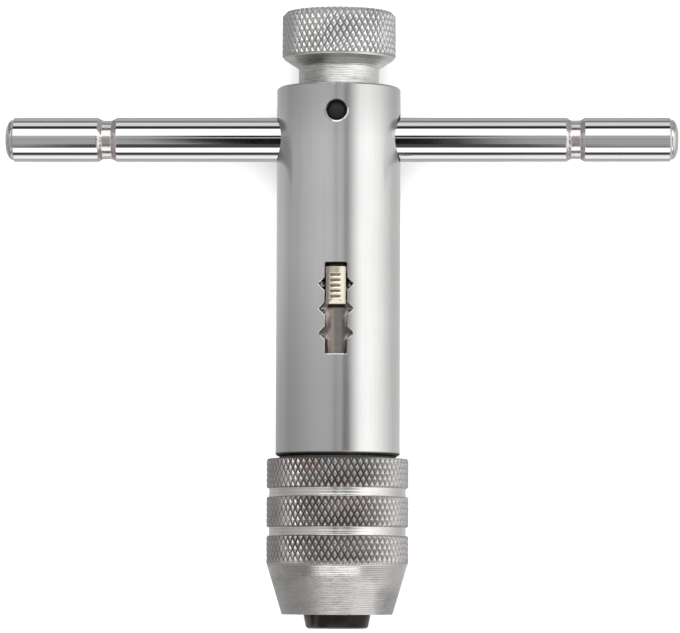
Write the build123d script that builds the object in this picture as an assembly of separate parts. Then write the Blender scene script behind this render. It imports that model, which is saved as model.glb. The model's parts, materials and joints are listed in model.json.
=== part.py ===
from build123d import *
import math
import os

os.makedirs("parts", exist_ok=True)

# Ratchet tap wrench lying on its back: the tool axis is Y, the sliding bar lies along X and
# the selector window looks up. The origin is the centre of the jaw tips. Millimetres.

# Running and seating clearances
running_clearance = 0.1
seat_clearance = 0.02
thread_clearance = 0.1
guide_clearance = 0.1
stem_clearance = 0.08

# Jaws
jaw_tip_radius = 4.97
jaw_cone_angle = 11.0
jaw_length = 13.3
jaw_land_gap = 1.1
jaw_grip_reach = 3.25
jaw_split_turn = 45.0
jaw_tip_chamfer = 0.3
tenon_width = 3.9
tenon_height = 4.0
tenon_inner = 3.6
tenon_outer = 5.9
jaw_spring_offset = 4.7
jaw_spring_from_top = 2.6
jaw_spring_hole_radius = 0.9
jaw_spring_hole_depth = 1.6
jaw_spring_wire = 0.25

# Chuck sleeve
jaw_overhang = 2.25
sleeve_mouth_radius = 8.92
sleeve_radius = 11.42
sleeve_cone_length = 8.35
lower_band = 4.27
middle_band = 4.86
upper_band = 4.71
band_groove_width = 1.4
band_groove_depth = 0.43
band_chamfer = 0.2
mouth_chamfer = 0.25
sleeve_travel = 5.0
sleeve_thread_pitch = 1.5
cone_clearance = 0.1
cone_relief = 0.4

# Dust washer in the gap between sleeve and body
body_gap = 0.5
washer_radius = 9.4
washer_thickness = 0.35
washer_seat_gap = 0.03

# Spindle
thread_radius = 7.9
spindle_slot_clearance = 0.05
spindle_slot_relief = 0.2
shank_hole_radius = 3.3
shank_hole_depth = 9.0
journal_radius = 7.25
shaft_radius = 3.9
stud_radius = 3.0
stud_end_length = 0.6
spindle_chamfer = 0.3

# Ratchet wheel and its spacer
tooth_count = 12
wheel_tip_radius = 5.1
wheel_root_radius = 4.2
tooth_gap_root = 1.3
tooth_gap_tip = 1.7
wheel_thickness = 3.6
clip_thickness = 0.8
clip_radius = 5.0
clip_groove_depth = 0.6
clip_mouth_width = 4.4

# Body
body_radius = 10.0
body_length = 59.56
body_bottom_chamfer = 0.25
body_top_chamfer = 0.3
bore_end_room = 0.9
clip_room = 1.9
web_thickness = 3.99

# Selector window and button
window_width = 3.4
window_end_clearance = 0.35
window_rim_chamfer = 0.15
notch_pitch = 3.9
notch_reach = 1.1
notch_tip_radius = 0.25
button_length = 6.0
button_drop = 0.25
button_crown_height = 10.9
button_shoulder_height = 10.0
button_top_bevel = 0.75
button_bottom_bevel = 0.25
button_groove_count = 5
button_groove_pitch = 0.867
button_groove_shift = 0.75
button_groove_radius = 0.26
button_groove_depth = 0.26
slide_thickness = 0.7
slide_half_angle = 32.0
slide_cover = 0.6
slide_end_room = 0.5
slide_opening_half_width = 1.35
slide_gap_below = 0.42
slide_gap_above = 0.6

# Detent clip of the selector
clip_strip_width = 0.6
clip_strip_thickness = 0.3
clip_strip_lift = 0.2
ear_radius = 0.4
ear_height = 1.1
ear_reach = 2.15

# Pawl
pawl_crest_gap = 0.1
pawl_drop = 0.75
pawl_spine_width = 2.4
pawl_spine_height = 0.4
pawl_nose_width = 1.1
pawl_bevel_start = 0.45
pawl_bevel_run = 1.0
stem_radius = 0.8
stem_spacing = 3.8
stem_hole_top = 9.6
pawl_spring_solid = 0.7
pawl_spring_wire = 0.2

# Knob, neck and cross bar
neck_radius = 6.5
neck_length = 3.2
shank_floor = 1.88
knob_radius = 9.2
knob_length = 7.4
knob_bevel_length = 1.7
knob_chamfer = 0.65
bar_depth = 8.32
bar_radius = 3.58
bar_length = 109.0
bar_clearance = 0.06
bar_hole_chamfer = 0.35
bar_rest_offset = 0.4
bar_groove_inset = 16.6
bar_groove_width = 3.3
bar_groove_floor = 1.2
bar_groove_depth = 0.45
bar_end_length = 1.15
bar_end_edge = 0.3
bar_end_flat = 0.9
ball_radius = 2.0
ball_gap = 0.1
ball_bore_depth = 8.6
detent_spring_wire = 0.45
head_pin_rise = 3.8
head_pin_radius = 1.5
head_pin_recess = 0.8
head_pin_chamfer = 0.3
head_pin_wall = 0.3
pin_hole_chamfer = 0.25

# Stations along the tool axis, from the jaw tips up
cone_slope = math.tan(math.radians(jaw_cone_angle))
sleeve_mouth = jaw_overhang
lower_band_start = sleeve_mouth + sleeve_cone_length
lower_groove_start = lower_band_start + lower_band
middle_band_start = lower_groove_start + band_groove_width
upper_groove_start = middle_band_start + middle_band
upper_band_start = upper_groove_start + band_groove_width
sleeve_top = upper_band_start + upper_band
body_bottom = sleeve_top + body_gap
body_top = body_bottom + body_length
neck_top = body_top + neck_length
knob_edge = neck_top + knob_bevel_length
knob_top = knob_edge + knob_length
bar_station = body_top - bar_depth
pin_station = bar_station + head_pin_rise
bar_hole_radius = bar_radius + bar_clearance
shank_bottom = bar_station - bar_hole_radius - shank_floor
web_top = shank_bottom - clip_room
pin_inner = bar_radius + head_pin_wall
ball_station = bar_station + bar_radius + ball_gap + ball_radius
ball_bore_top = bar_station + bar_radius + ball_bore_depth

# Selector stations
selector_travel = 2 * notch_pitch
window_length = button_length + selector_travel + 2 * window_end_clearance
bore_top = web_top - web_thickness
slide_top = bore_top - bore_end_room
window_centre = slide_top - slide_cover - selector_travel - window_length / 2
detent_station = window_centre + notch_pitch
button_centre = detent_station - button_drop
slide_bottom = window_centre - window_length / 2 - slide_cover
journal_top = slide_bottom - selector_travel - slide_end_room
bore_radius = journal_radius + running_clearance
slide_outer = bore_radius - running_clearance
slide_inner = slide_outer - slide_thickness
wheel_bottom = window_centre - wheel_thickness / 2
wheel_top = window_centre + wheel_thickness / 2
clip_bottom = web_top + running_clearance
clip_top = clip_bottom + clip_thickness
stud_top = clip_top + stud_end_length
pawl_tip_height = wheel_tip_radius + pawl_crest_gap
pawl_root_height = pawl_tip_height + pawl_drop
stem_top_height = stem_hole_top - pawl_spring_solid

# Chuck sizes
thread_bore_radius = thread_radius + thread_clearance
jaw_travel = sleeve_travel * cone_slope
jaw_back_radius = thread_bore_radius - jaw_travel - cone_clearance
jaw_cone_end = (jaw_back_radius - jaw_tip_radius) / cone_slope
spindle_end = jaw_length + running_clearance
spindle_shoulder = body_bottom - running_clearance
sleeve_cone_end = spindle_end - cone_relief


def turned(points):
    """Solid of revolution about the tool axis from (radius, station) points."""
    return revolve(make_face(Polyline(*points, close=True)), Axis.Y, 360)


def ring(outer, inner, start, end):
    """Plain ring about the tool axis."""
    return turned([(inner, start), (outer, start), (outer, end), (inner, end)])


def disc(radius, start, end):
    """Plain cylinder on the tool axis."""
    return turned([(0, start), (radius, start), (radius, end), (0, end)])


def upright(radius, x, y, low, high):
    """Cylinder along Z between two heights."""
    rod = Cylinder(radius, high - low, align=(Align.CENTER, Align.CENTER, Align.MIN))
    return Pos(x, y, low) * rod


def prism(points, start, end):
    """Solid with an (x, z) outline that runs along the tool axis."""
    outline = Polyline(*[(x, start, z) for x, z in points], close=True)
    return extrude(make_face(outline), amount=end - start, dir=(0, 1, 0))


def sleeve_cone_radius(station):
    """Radius of the sleeve's inner cone at a station."""
    return jaw_tip_radius + station * cone_slope + cone_clearance


def window_outline():
    """Selector window with its three pairs of notches, as a face seen from above."""
    face = Rectangle(window_width, window_length)
    side = (window_width + 2 * notch_reach) / math.sqrt(2)
    for step in (-1, 0, 1):
        square = RectangleRounded(side, side, notch_tip_radius)
        face += Pos(0, step * notch_pitch) * Rot(0, 0, 45) * square
    return Pos(0, window_centre) * face


def on_bar_rim(edge):
    """True for the outer edges of the bar's hole through the body."""
    middle = edge.center(CenterOf.BOUNDING_BOX)
    size = edge.bounding_box().size
    on_side = abs(middle.X) > neck_radius + bar_hole_chamfer
    return on_side and abs(middle.Y - bar_station) < bar_hole_radius and size.Z > bar_radius


def on_pin_rim(edge):
    """True for the edge where the pin hole breaks through the body's surface."""
    box = edge.bounding_box()
    inside = abs(box.min.X) < head_pin_radius + 0.5 and abs(box.max.X) < head_pin_radius + 0.5
    near = abs((box.min.Y + box.max.Y) / 2 - pin_station) < head_pin_radius
    return inside and near and box.min.Z > body_radius - 0.5


def on_window_rim(edge):
    """True for the edges where the selector window breaks through the body's surface."""
    box = edge.bounding_box()
    over = body_radius - (window_width / 2 + notch_reach) ** 2 / body_radius
    inside = abs(box.min.X) < body_radius / 2 and abs(box.max.X) < body_radius / 2
    near = abs((box.min.Y + box.max.Y) / 2 - window_centre) < window_length / 2 + window_rim_chamfer
    return inside and near and box.min.Z > over and box.size.Z < body_radius / 4


def make_housing():
    """Body tube: ratchet bore, web, knob bore, bar hole, pin hole and selector window."""
    shell = turned([
        (0, body_bottom),
        (body_radius - body_bottom_chamfer, body_bottom),
        (body_radius, body_bottom + body_bottom_chamfer),
        (body_radius, body_top - body_top_chamfer),
        (body_radius - body_top_chamfer, body_top),
        (0, body_top),
    ])
    shell -= disc(bore_radius, body_bottom, bore_top)
    shell -= disc(stud_radius + running_clearance, bore_top, web_top)
    shell -= disc(neck_radius + seat_clearance, web_top, body_top)
    shell -= Pos(0, bar_station, 0) * Rot(0, 90, 0) * Cylinder(bar_hole_radius, 3 * body_radius)
    shell -= upright(head_pin_radius + seat_clearance, 0, pin_station, 0, body_radius + 1)
    shell = chamfer(shell.edges().filter_by(on_bar_rim), bar_hole_chamfer)
    shell = chamfer(shell.edges().filter_by(on_pin_rim), pin_hole_chamfer)
    shell -= extrude(window_outline(), amount=2 * body_radius)
    return chamfer(shell.edges().filter_by(on_window_rim), window_rim_chamfer)


def make_head_knob():
    """Knob, neck and shank in one piece, with the bar hole and the ball's bore."""
    knob = turned([
        (0, shank_bottom),
        (neck_radius, shank_bottom),
        (neck_radius, neck_top),
        (knob_radius, knob_edge),
        (knob_radius, knob_top - knob_chamfer),
        (knob_radius - knob_chamfer, knob_top),
        (0, knob_top),
    ])
    knob -= Pos(0, bar_station, 0) * Rot(0, 90, 0) * Cylinder(bar_hole_radius, 3 * neck_radius)
    knob -= disc(ball_radius + seat_clearance, bar_station, ball_bore_top)
    knob -= upright(head_pin_radius + seat_clearance, 0, pin_station, pin_inner, neck_radius)
    return knob


def make_head_pin():
    """Cross pin that holds the knob's shank in the body, sunk below the surface."""
    outer = body_radius - head_pin_recess
    pin = upright(head_pin_radius, 0, pin_station, pin_inner + seat_clearance, outer)
    return chamfer(pin.edges().group_by(Axis.Z)[-1], head_pin_chamfer)


def make_ball():
    """Ball that presses on the bar."""
    return Pos(0, ball_station, 0) * Sphere(ball_radius)


def make_detent_spring():
    """Outer form of the spring behind the ball."""
    start = ball_station + ball_radius + seat_clearance
    outer = ball_radius - seat_clearance
    return ring(outer, outer - detent_spring_wire, start, ball_bore_top - seat_clearance)


def make_tee_bar():
    """Sliding bar with a stop groove near each crowned end."""
    half = bar_length / 2
    groove = half - bar_groove_inset
    floor = bar_radius - bar_groove_depth
    edge = half - bar_end_length
    top = []
    for side in (-1, 1):
        ends = [(side * (groove + reach), radius)
                for reach, radius in ((bar_groove_width / 2, bar_radius), (bar_groove_floor / 2, floor),
                                      (-bar_groove_floor / 2, floor), (-bar_groove_width / 2, bar_radius))]
        crown = [(side * edge, bar_radius - bar_end_edge),
                 (side * (half - bar_end_length * 0.36), bar_end_flat + 1.45),
                 (side * half, bar_end_flat)]
        top.append((ends, crown))
    (left_groove, left_crown), (right_groove, right_crown) = top
    outline = Polyline(left_crown[2], (-half, 0), (half, 0), right_crown[2])
    outline += ThreePointArc(*right_crown)
    outline += Polyline(right_crown[0], (edge - bar_end_edge, bar_radius), *right_groove,
                        *reversed(left_groove), (-edge + bar_end_edge, bar_radius), left_crown[0])
    outline += ThreePointArc(*left_crown)
    bar = revolve(make_face(outline.edges()), Axis.X, 360)
    return Pos(bar_rest_offset, bar_station, 0) * bar


def make_selector_slide():
    """Curved steel plate that closes the window from inside, open under the button."""
    plate = ring(slide_outer, slide_inner, slide_bottom, slide_top)
    spread = math.tan(math.radians(slide_half_angle)) * 2 * body_radius
    wedge = prism([(0, 0), (spread, 2 * body_radius), (-spread, 2 * body_radius)],
                  slide_bottom, slide_top)
    low = button_centre - button_length / 2 - slide_gap_below
    high = button_centre + button_length / 2 + slide_gap_above
    opening = Box(2 * slide_opening_half_width, high - low, 2 * body_radius)
    return (plate & wedge) - Pos(0, (low + high) / 2, body_radius) * opening


def stem_stations():
    """Stations of the pawl's two stems."""
    return (button_centre - stem_spacing / 2, button_centre + stem_spacing / 2)


def make_selector_button():
    """Crowned button with a bevelled top end and cross grooves, seated on the curved slide."""
    half = window_width / 2 - guide_clearance
    crown = Polyline((-half, 0, button_shoulder_height), (-half, 0, 0), (half, 0, 0),
                     (half, 0, button_shoulder_height))
    crown += ThreePointArc((half, 0, button_shoulder_height), (0, 0, button_crown_height),
                           (-half, 0, button_shoulder_height))
    start = button_centre - button_length / 2
    end = button_centre + button_length / 2
    block = extrude(Pos(0, start, 0) * make_face(crown.edges()), amount=button_length,
                    dir=(0, 1, 0))
    low = button_shoulder_height - (button_crown_height - button_shoulder_height) / 3
    for tip, inner, height in ((start, start + button_bottom_bevel, button_shoulder_height),
                               (end, end - button_top_bevel, low)):
        bevel = Polyline((-half * 2, tip, height), (-half * 2, inner, button_crown_height),
                         (-half * 2, tip, button_crown_height), close=True)
        block -= extrude(make_face(bevel), amount=4 * half, dir=(1, 0, 0))
    block -= disc(slide_outer + seat_clearance, start, end)
    first = -(button_groove_count - 1) / 2
    lift = button_crown_height - button_groove_depth + button_groove_radius
    for step in range(button_groove_count):
        y = button_centre - button_groove_shift + (first + step) * button_groove_pitch
        block -= Pos(0, y, lift) * Rot(0, 90, 0) * Cylinder(button_groove_radius, 4 * half)
    for y in stem_stations():
        block -= upright(stem_radius + stem_clearance, 0, y, 0, stem_hole_top)
    slot_low = slide_outer + clip_strip_lift - seat_clearance
    slot_height = clip_strip_thickness + 2 * seat_clearance
    slot = Box(4 * half, clip_strip_width + 2 * seat_clearance, slot_height,
               align=(Align.CENTER, Align.CENTER, Align.MIN))
    return block - Pos(0, detent_station, slot_low) * slot


def make_detent_clip():
    """Leaf spring through the button's foot, with an ear in each notch of a pair."""
    low = slide_outer + clip_strip_lift
    strip = Pos(0, detent_station, low) * Box(
        2 * ear_reach, clip_strip_width, clip_strip_thickness,
        align=(Align.CENTER, Align.CENTER, Align.MIN))
    for x in (-ear_reach, ear_reach):
        strip += upright(ear_radius, x, detent_station, low, low + ear_height)
    return strip


def make_pawl_springs():
    """Outer form of the two springs above the pawl's stems."""
    outer = stem_radius - seat_clearance
    springs = []
    for y in stem_stations():
        coil = upright(outer, 0, y, stem_top_height + seat_clearance, stem_hole_top - seat_clearance)
        coil -= upright(outer - pawl_spring_wire, 0, y, stem_top_height, stem_hole_top)
        springs.append(coil)
    return Compound(children=springs)


def make_pawl():
    """Pawl with three noses in line, one for each ratchet setting, on two stems.

    It stands just clear of the tooth tips, as when it clicks over, and drops from there
    into a gap. The lowest nose is bevelled on one side, the middle one is square and locks
    the wheel, and the top one is bevelled on the other side.
    """
    crest = pawl_tip_height
    root = pawl_root_height
    top = root + pawl_spine_height
    half_spine = pawl_spine_width / 2
    half_nose = pawl_nose_width / 2
    length = 3 * notch_pitch
    bottom = detent_station - length / 2
    body = prism([(-half_spine, root), (half_spine, root), (half_spine, top),
                  (-half_spine, top)], bottom, bottom + length)
    bevelled = [(-half_nose, crest), (-half_nose + pawl_bevel_start, crest),
                (-half_nose + pawl_bevel_start + pawl_bevel_run, root), (-half_nose, root)]
    square = [(-half_nose, crest), (half_nose, crest), (half_nose, root), (-half_nose, root)]
    mirrored = [(-x, z) for x, z in reversed(bevelled)]
    for index, outline in enumerate((bevelled, square, mirrored)):
        start = bottom + index * notch_pitch
        body += prism(outline, start, start + notch_pitch)
    for y in stem_stations():
        body += upright(stem_radius, 0, y, top - pawl_spine_height / 2, stem_top_height)
    return body


def make_spindle():
    """Spindle: slotted and threaded chuck end, journal, shaft and stud for the wheel."""
    core = turned([
        (0, spindle_end),
        (thread_radius - spindle_chamfer, spindle_end),
        (thread_radius, spindle_end + spindle_chamfer),
        (thread_radius, spindle_shoulder),
        (journal_radius, spindle_shoulder),
        (journal_radius, journal_top - spindle_chamfer),
        (journal_radius - spindle_chamfer, journal_top),
        (shaft_radius, journal_top),
        (shaft_radius, wheel_bottom),
        (stud_radius, wheel_bottom),
        (stud_radius, stud_top - spindle_chamfer),
        (stud_radius - spindle_chamfer, stud_top),
        (0, stud_top),
    ])
    core -= ring(stud_radius + 1, stud_radius - clip_groove_depth, clip_bottom, clip_top)
    core -= disc(shank_hole_radius, spindle_end, spindle_end + shank_hole_depth)
    slot_depth = tenon_height + spindle_slot_relief
    slot = Box(tenon_width + 2 * spindle_slot_clearance, slot_depth, 3 * thread_radius,
               align=(Align.CENTER, Align.MIN, Align.CENTER))
    core -= Rot(0, jaw_split_turn, 0) * Pos(0, spindle_end, 0) * slot
    return core


def make_ratchet_wheel():
    """Toothed wheel with near-radial flanks, on the spindle's stud."""
    wheel = ring(wheel_tip_radius, stud_radius + seat_clearance, wheel_bottom, wheel_top)
    over = wheel_tip_radius - wheel_root_radius
    spread = (tooth_gap_tip - tooth_gap_root) / 2
    low, high = wheel_root_radius, wheel_tip_radius + over
    gap = prism([(-tooth_gap_root / 2, low), (tooth_gap_root / 2, low),
                 (tooth_gap_tip / 2 + spread, high), (-tooth_gap_tip / 2 - spread, high)],
                wheel_bottom, wheel_top)
    for index in range(tooth_count):
        wheel -= Rot(0, index * 360 / tooth_count, 0) * gap
    return wheel


def make_wheel_spacer():
    """Sleeve between the wheel and the web, which keeps the wheel on its shoulder."""
    return ring(shaft_radius, stud_radius + seat_clearance, wheel_top + seat_clearance,
                bore_top - running_clearance)


def make_spindle_clip():
    """Open retaining ring in the groove at the top of the stud."""
    inner = stud_radius - clip_groove_depth + seat_clearance
    clip = ring(clip_radius, inner, clip_bottom + seat_clearance, clip_top - seat_clearance)
    mouth = Box(clip_mouth_width, clip_thickness, clip_radius,
                align=(Align.CENTER, Align.MIN, Align.MAX))
    return clip - Pos(0, clip_bottom, 0) * mouth


def make_jaw_springs():
    """Outer form of the two springs that push the jaws apart."""
    reach = jaw_land_gap / 2 + jaw_spring_hole_depth - seat_clearance
    outer = jaw_spring_hole_radius - seat_clearance
    springs = []
    for x in (-jaw_spring_offset, jaw_spring_offset):
        coil = upright(outer, x, jaw_length - jaw_spring_from_top, -reach, reach)
        coil -= upright(outer - jaw_spring_wire, x, jaw_length - jaw_spring_from_top, -reach, reach)
        springs.append(Rot(0, jaw_split_turn, 0) * coil)
    return Compound(children=springs)


def make_jaw(turn):
    """Half-round jaw with a V grip, a driving tenon and two spring pockets."""
    blank = turned([
        (0, 0),
        (jaw_tip_radius - jaw_tip_chamfer, 0),
        (jaw_tip_radius + jaw_tip_chamfer * cone_slope, jaw_tip_chamfer),
        (jaw_back_radius, jaw_cone_end),
        (jaw_back_radius, jaw_length),
        (0, jaw_length),
    ])
    low = jaw_land_gap / 2
    keep = Box(4 * jaw_back_radius, 3 * jaw_length, 2 * jaw_back_radius,
               align=(Align.CENTER, Align.CENTER, Align.MIN))
    jaw = blank & (Pos(0, 0, low) * keep)
    grip_side = jaw_grip_reach * math.sqrt(2)
    jaw -= Rot(0, 45, 0) * Box(grip_side, 3 * jaw_length, grip_side)
    for x in (-jaw_spring_offset, jaw_spring_offset):
        jaw -= upright(jaw_spring_hole_radius, x, jaw_length - jaw_spring_from_top,
                       0, low + jaw_spring_hole_depth)
    tenon = Box(tenon_width, 2 * tenon_height, tenon_outer - tenon_inner,
                align=(Align.CENTER, Align.CENTER, Align.MIN))
    jaw += Pos(0, jaw_length, tenon_inner) * tenon
    return Rot(0, jaw_split_turn + turn, 0) * jaw


def make_chuck_sleeve():
    """Sleeve with three grip bands, an outer taper, the closing cone and the thread bore."""
    groove_radius = sleeve_radius - band_groove_depth
    bands = [
        (lower_band_start, lower_groove_start, 0),
        (middle_band_start, upper_groove_start, 1),
        (upper_band_start, sleeve_top, 1),
    ]
    points = [
        (sleeve_cone_radius(sleeve_mouth) + mouth_chamfer, sleeve_mouth),
        (sleeve_mouth_radius, sleeve_mouth),
    ]
    for start, end, lower_edge in bands:
        if lower_edge:
            points.append((groove_radius, start))
            points.append((sleeve_radius - band_chamfer, start))
            points.append((sleeve_radius, start + band_chamfer))
        else:
            points.append((sleeve_radius, start))
        points.append((sleeve_radius, end - band_chamfer))
        points.append((sleeve_radius - band_chamfer, end))
        if end < sleeve_top:
            points.append((groove_radius, end))
    points.append((thread_bore_radius, sleeve_top))
    points.append((thread_bore_radius, sleeve_cone_end))
    points.append((sleeve_cone_radius(sleeve_cone_end), sleeve_cone_end))
    points.append((sleeve_cone_radius(sleeve_mouth + mouth_chamfer), sleeve_mouth + mouth_chamfer))
    return turned(points)


def make_sleeve_washer():
    """Dark dust washer that rides on top of the sleeve."""
    start = sleeve_top + washer_seat_gap
    return ring(washer_radius, thread_bore_radius + thread_clearance, start,
                start + washer_thickness)


nodes = {
    "housing": make_housing(),
    "head_knob": make_head_knob(),
    "head_pin": make_head_pin(),
    "bar_detent_ball": make_ball(),
    "bar_detent_spring": make_detent_spring(),
    "tee_bar": make_tee_bar(),
    "selector_slide": make_selector_slide(),
    "selector_button": make_selector_button(),
    "selector_detent_clip": make_detent_clip(),
    "pawl_springs": make_pawl_springs(),
    "pawl": make_pawl(),
    "spindle": make_spindle(),
    "ratchet_wheel": make_ratchet_wheel(),
    "wheel_spacer": make_wheel_spacer(),
    "spindle_clip": make_spindle_clip(),
    "jaw_springs": make_jaw_springs(),
    "jaw_a": make_jaw(0),
    "jaw_b": make_jaw(180),
    "chuck_sleeve": make_chuck_sleeve(),
    "sleeve_washer": make_sleeve_washer(),
}

for name, solid in nodes.items():
    export_step(solid, f"parts/{name}.step")
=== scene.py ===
"""Ratchet tap wrench lying on its back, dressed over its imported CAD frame.

The tool axis is Y with the jaws towards -Y, the cross bar lies along X and the selector
window looks up. Sizes in this file are millimetres; the meshes are in metres.
"""

from __future__ import annotations

import json
import logging
import math
from collections.abc import Iterable, Mapping, Sequence
from dataclasses import dataclass
from enum import Enum
from typing import Any

import bmesh
import bpy
import numpy as np
from mathutils import Matrix, Vector

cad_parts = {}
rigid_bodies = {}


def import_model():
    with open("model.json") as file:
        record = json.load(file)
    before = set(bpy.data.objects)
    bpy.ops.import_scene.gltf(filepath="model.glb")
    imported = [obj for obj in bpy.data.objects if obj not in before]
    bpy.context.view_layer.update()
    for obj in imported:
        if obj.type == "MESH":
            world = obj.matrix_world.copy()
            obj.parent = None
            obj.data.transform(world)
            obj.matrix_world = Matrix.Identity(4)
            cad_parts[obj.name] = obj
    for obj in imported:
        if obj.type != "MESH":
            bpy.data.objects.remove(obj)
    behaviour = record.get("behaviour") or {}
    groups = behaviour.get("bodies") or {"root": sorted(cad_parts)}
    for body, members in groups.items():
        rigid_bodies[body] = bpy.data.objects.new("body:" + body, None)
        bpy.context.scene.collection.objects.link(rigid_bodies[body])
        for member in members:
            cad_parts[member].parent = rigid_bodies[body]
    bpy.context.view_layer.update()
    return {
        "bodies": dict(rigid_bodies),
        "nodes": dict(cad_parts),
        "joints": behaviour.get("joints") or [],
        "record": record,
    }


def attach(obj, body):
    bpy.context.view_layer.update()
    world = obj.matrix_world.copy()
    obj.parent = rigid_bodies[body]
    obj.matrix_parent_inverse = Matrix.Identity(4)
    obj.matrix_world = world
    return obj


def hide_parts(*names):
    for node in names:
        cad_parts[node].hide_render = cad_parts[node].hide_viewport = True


LOG = logging.getLogger("tap_wrench")
MM = 0.001

# Millimetres in a metre in single precision, as Blender's own vectors are divided
PER_METRE = np.float32(1 / np.float32(MM))

# Lean of a normal round the axis and along it, as a part of its length, up to which it comes
# from facets alone, and the radius in metres below which a point counts as on the axis
SWIRL_LIMIT = 0.16
SLOPE_LIMIT = 0.06
AXIS_RADIUS = 1e-4

# A face of a barrel or bore, in metres: how far its corners may differ in radius, its least
# length along the axis and its least radius, and the step in which radii are told apart
BARREL_SPREAD = 0.004 * MM
BARREL_LENGTH = 0.01 * MM
BARREL_RADIUS = MM
RADIUS_STEP = 0.02 * MM

# Points of a CAD node that are nearer than this are one, and the tolerance of a cut, in metres
MERGE_DISTANCE = 2e-6
CUT_TOLERANCE = 1e-7

# Depth from which a point of a knurled surface counts as pressed, and the difference up to
# which two diagonals count as level, in millimetres
PRESSED_DEPTH = 0.012
LEVEL_TOLERANCE = 1e-7

Triple = tuple[float, float, float]
Colour = Triple
Frame = Mapping[str, Any]


# Shader maths


class Signal:
    """A shader value; each operator used on it adds its Math node."""

    def __init__(self, sheet: NodeSheet, socket: bpy.types.NodeSocket) -> None:
        """Keeps the sheet of nodes, and the socket that carries the value."""
        self.sheet = sheet
        self.socket = socket

    def __add__(self, other: Signal | float) -> Signal:
        """self + other."""
        return self.sheet.maths("ADD", self, other)

    def __sub__(self, other: Signal | float) -> Signal:
        """self - other."""
        return self.sheet.maths("SUBTRACT", self, other)

    def __rsub__(self, other: float) -> Signal:
        """other - self."""
        return self.sheet.maths("SUBTRACT", other, self)

    def __mul__(self, other: Signal | float) -> Signal:
        """self * other."""
        return self.sheet.maths("MULTIPLY", self, other)

    def __truediv__(self, other: Signal | float) -> Signal:
        """self / other."""
        return self.sheet.maths("DIVIDE", self, other)

    def __rtruediv__(self, other: float) -> Signal:
        """other / self."""
        return self.sheet.maths("DIVIDE", other, self)

    def __abs__(self) -> Signal:
        """Size of self without its sign."""
        return self.sheet.maths("ABSOLUTE", self)

    __radd__ = __add__
    __rmul__ = __mul__

    def clamped(self) -> Signal:
        """self held between 0 and 1."""
        return self.sheet.maths("ADD", self, 0.0, clamp=True)

    def rise(self, low: float, high: float) -> Signal:
        """Smooth step from 0 at low to 1 at high; high below low gives a falling step.

        Args:
            low: Value where the step starts.
            high: Value where the step ends.

        Returns:
            The step, between 0 and 1.
        """
        made = self.sheet.node(
            "ShaderNodeMapRange",
            {"interpolation_type": "SMOOTHSTEP"},
            {"Value": self, "From Min": low, "From Max": high},
        )
        return Signal(self.sheet, made.outputs["Result"])

    def band(self, low: float, high: float, soft: float) -> Signal:
        """1 between low and high, with a soft edge on both sides.

        Args:
            low: Lower edge of the band.
            high: Upper edge of the band.
            soft: Width of each edge.

        Returns:
            The band mask, between 0 and 1.
        """
        half = soft / 2
        return self.rise(low - half, low + half) * self.rise(high + half, high - half)


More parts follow.
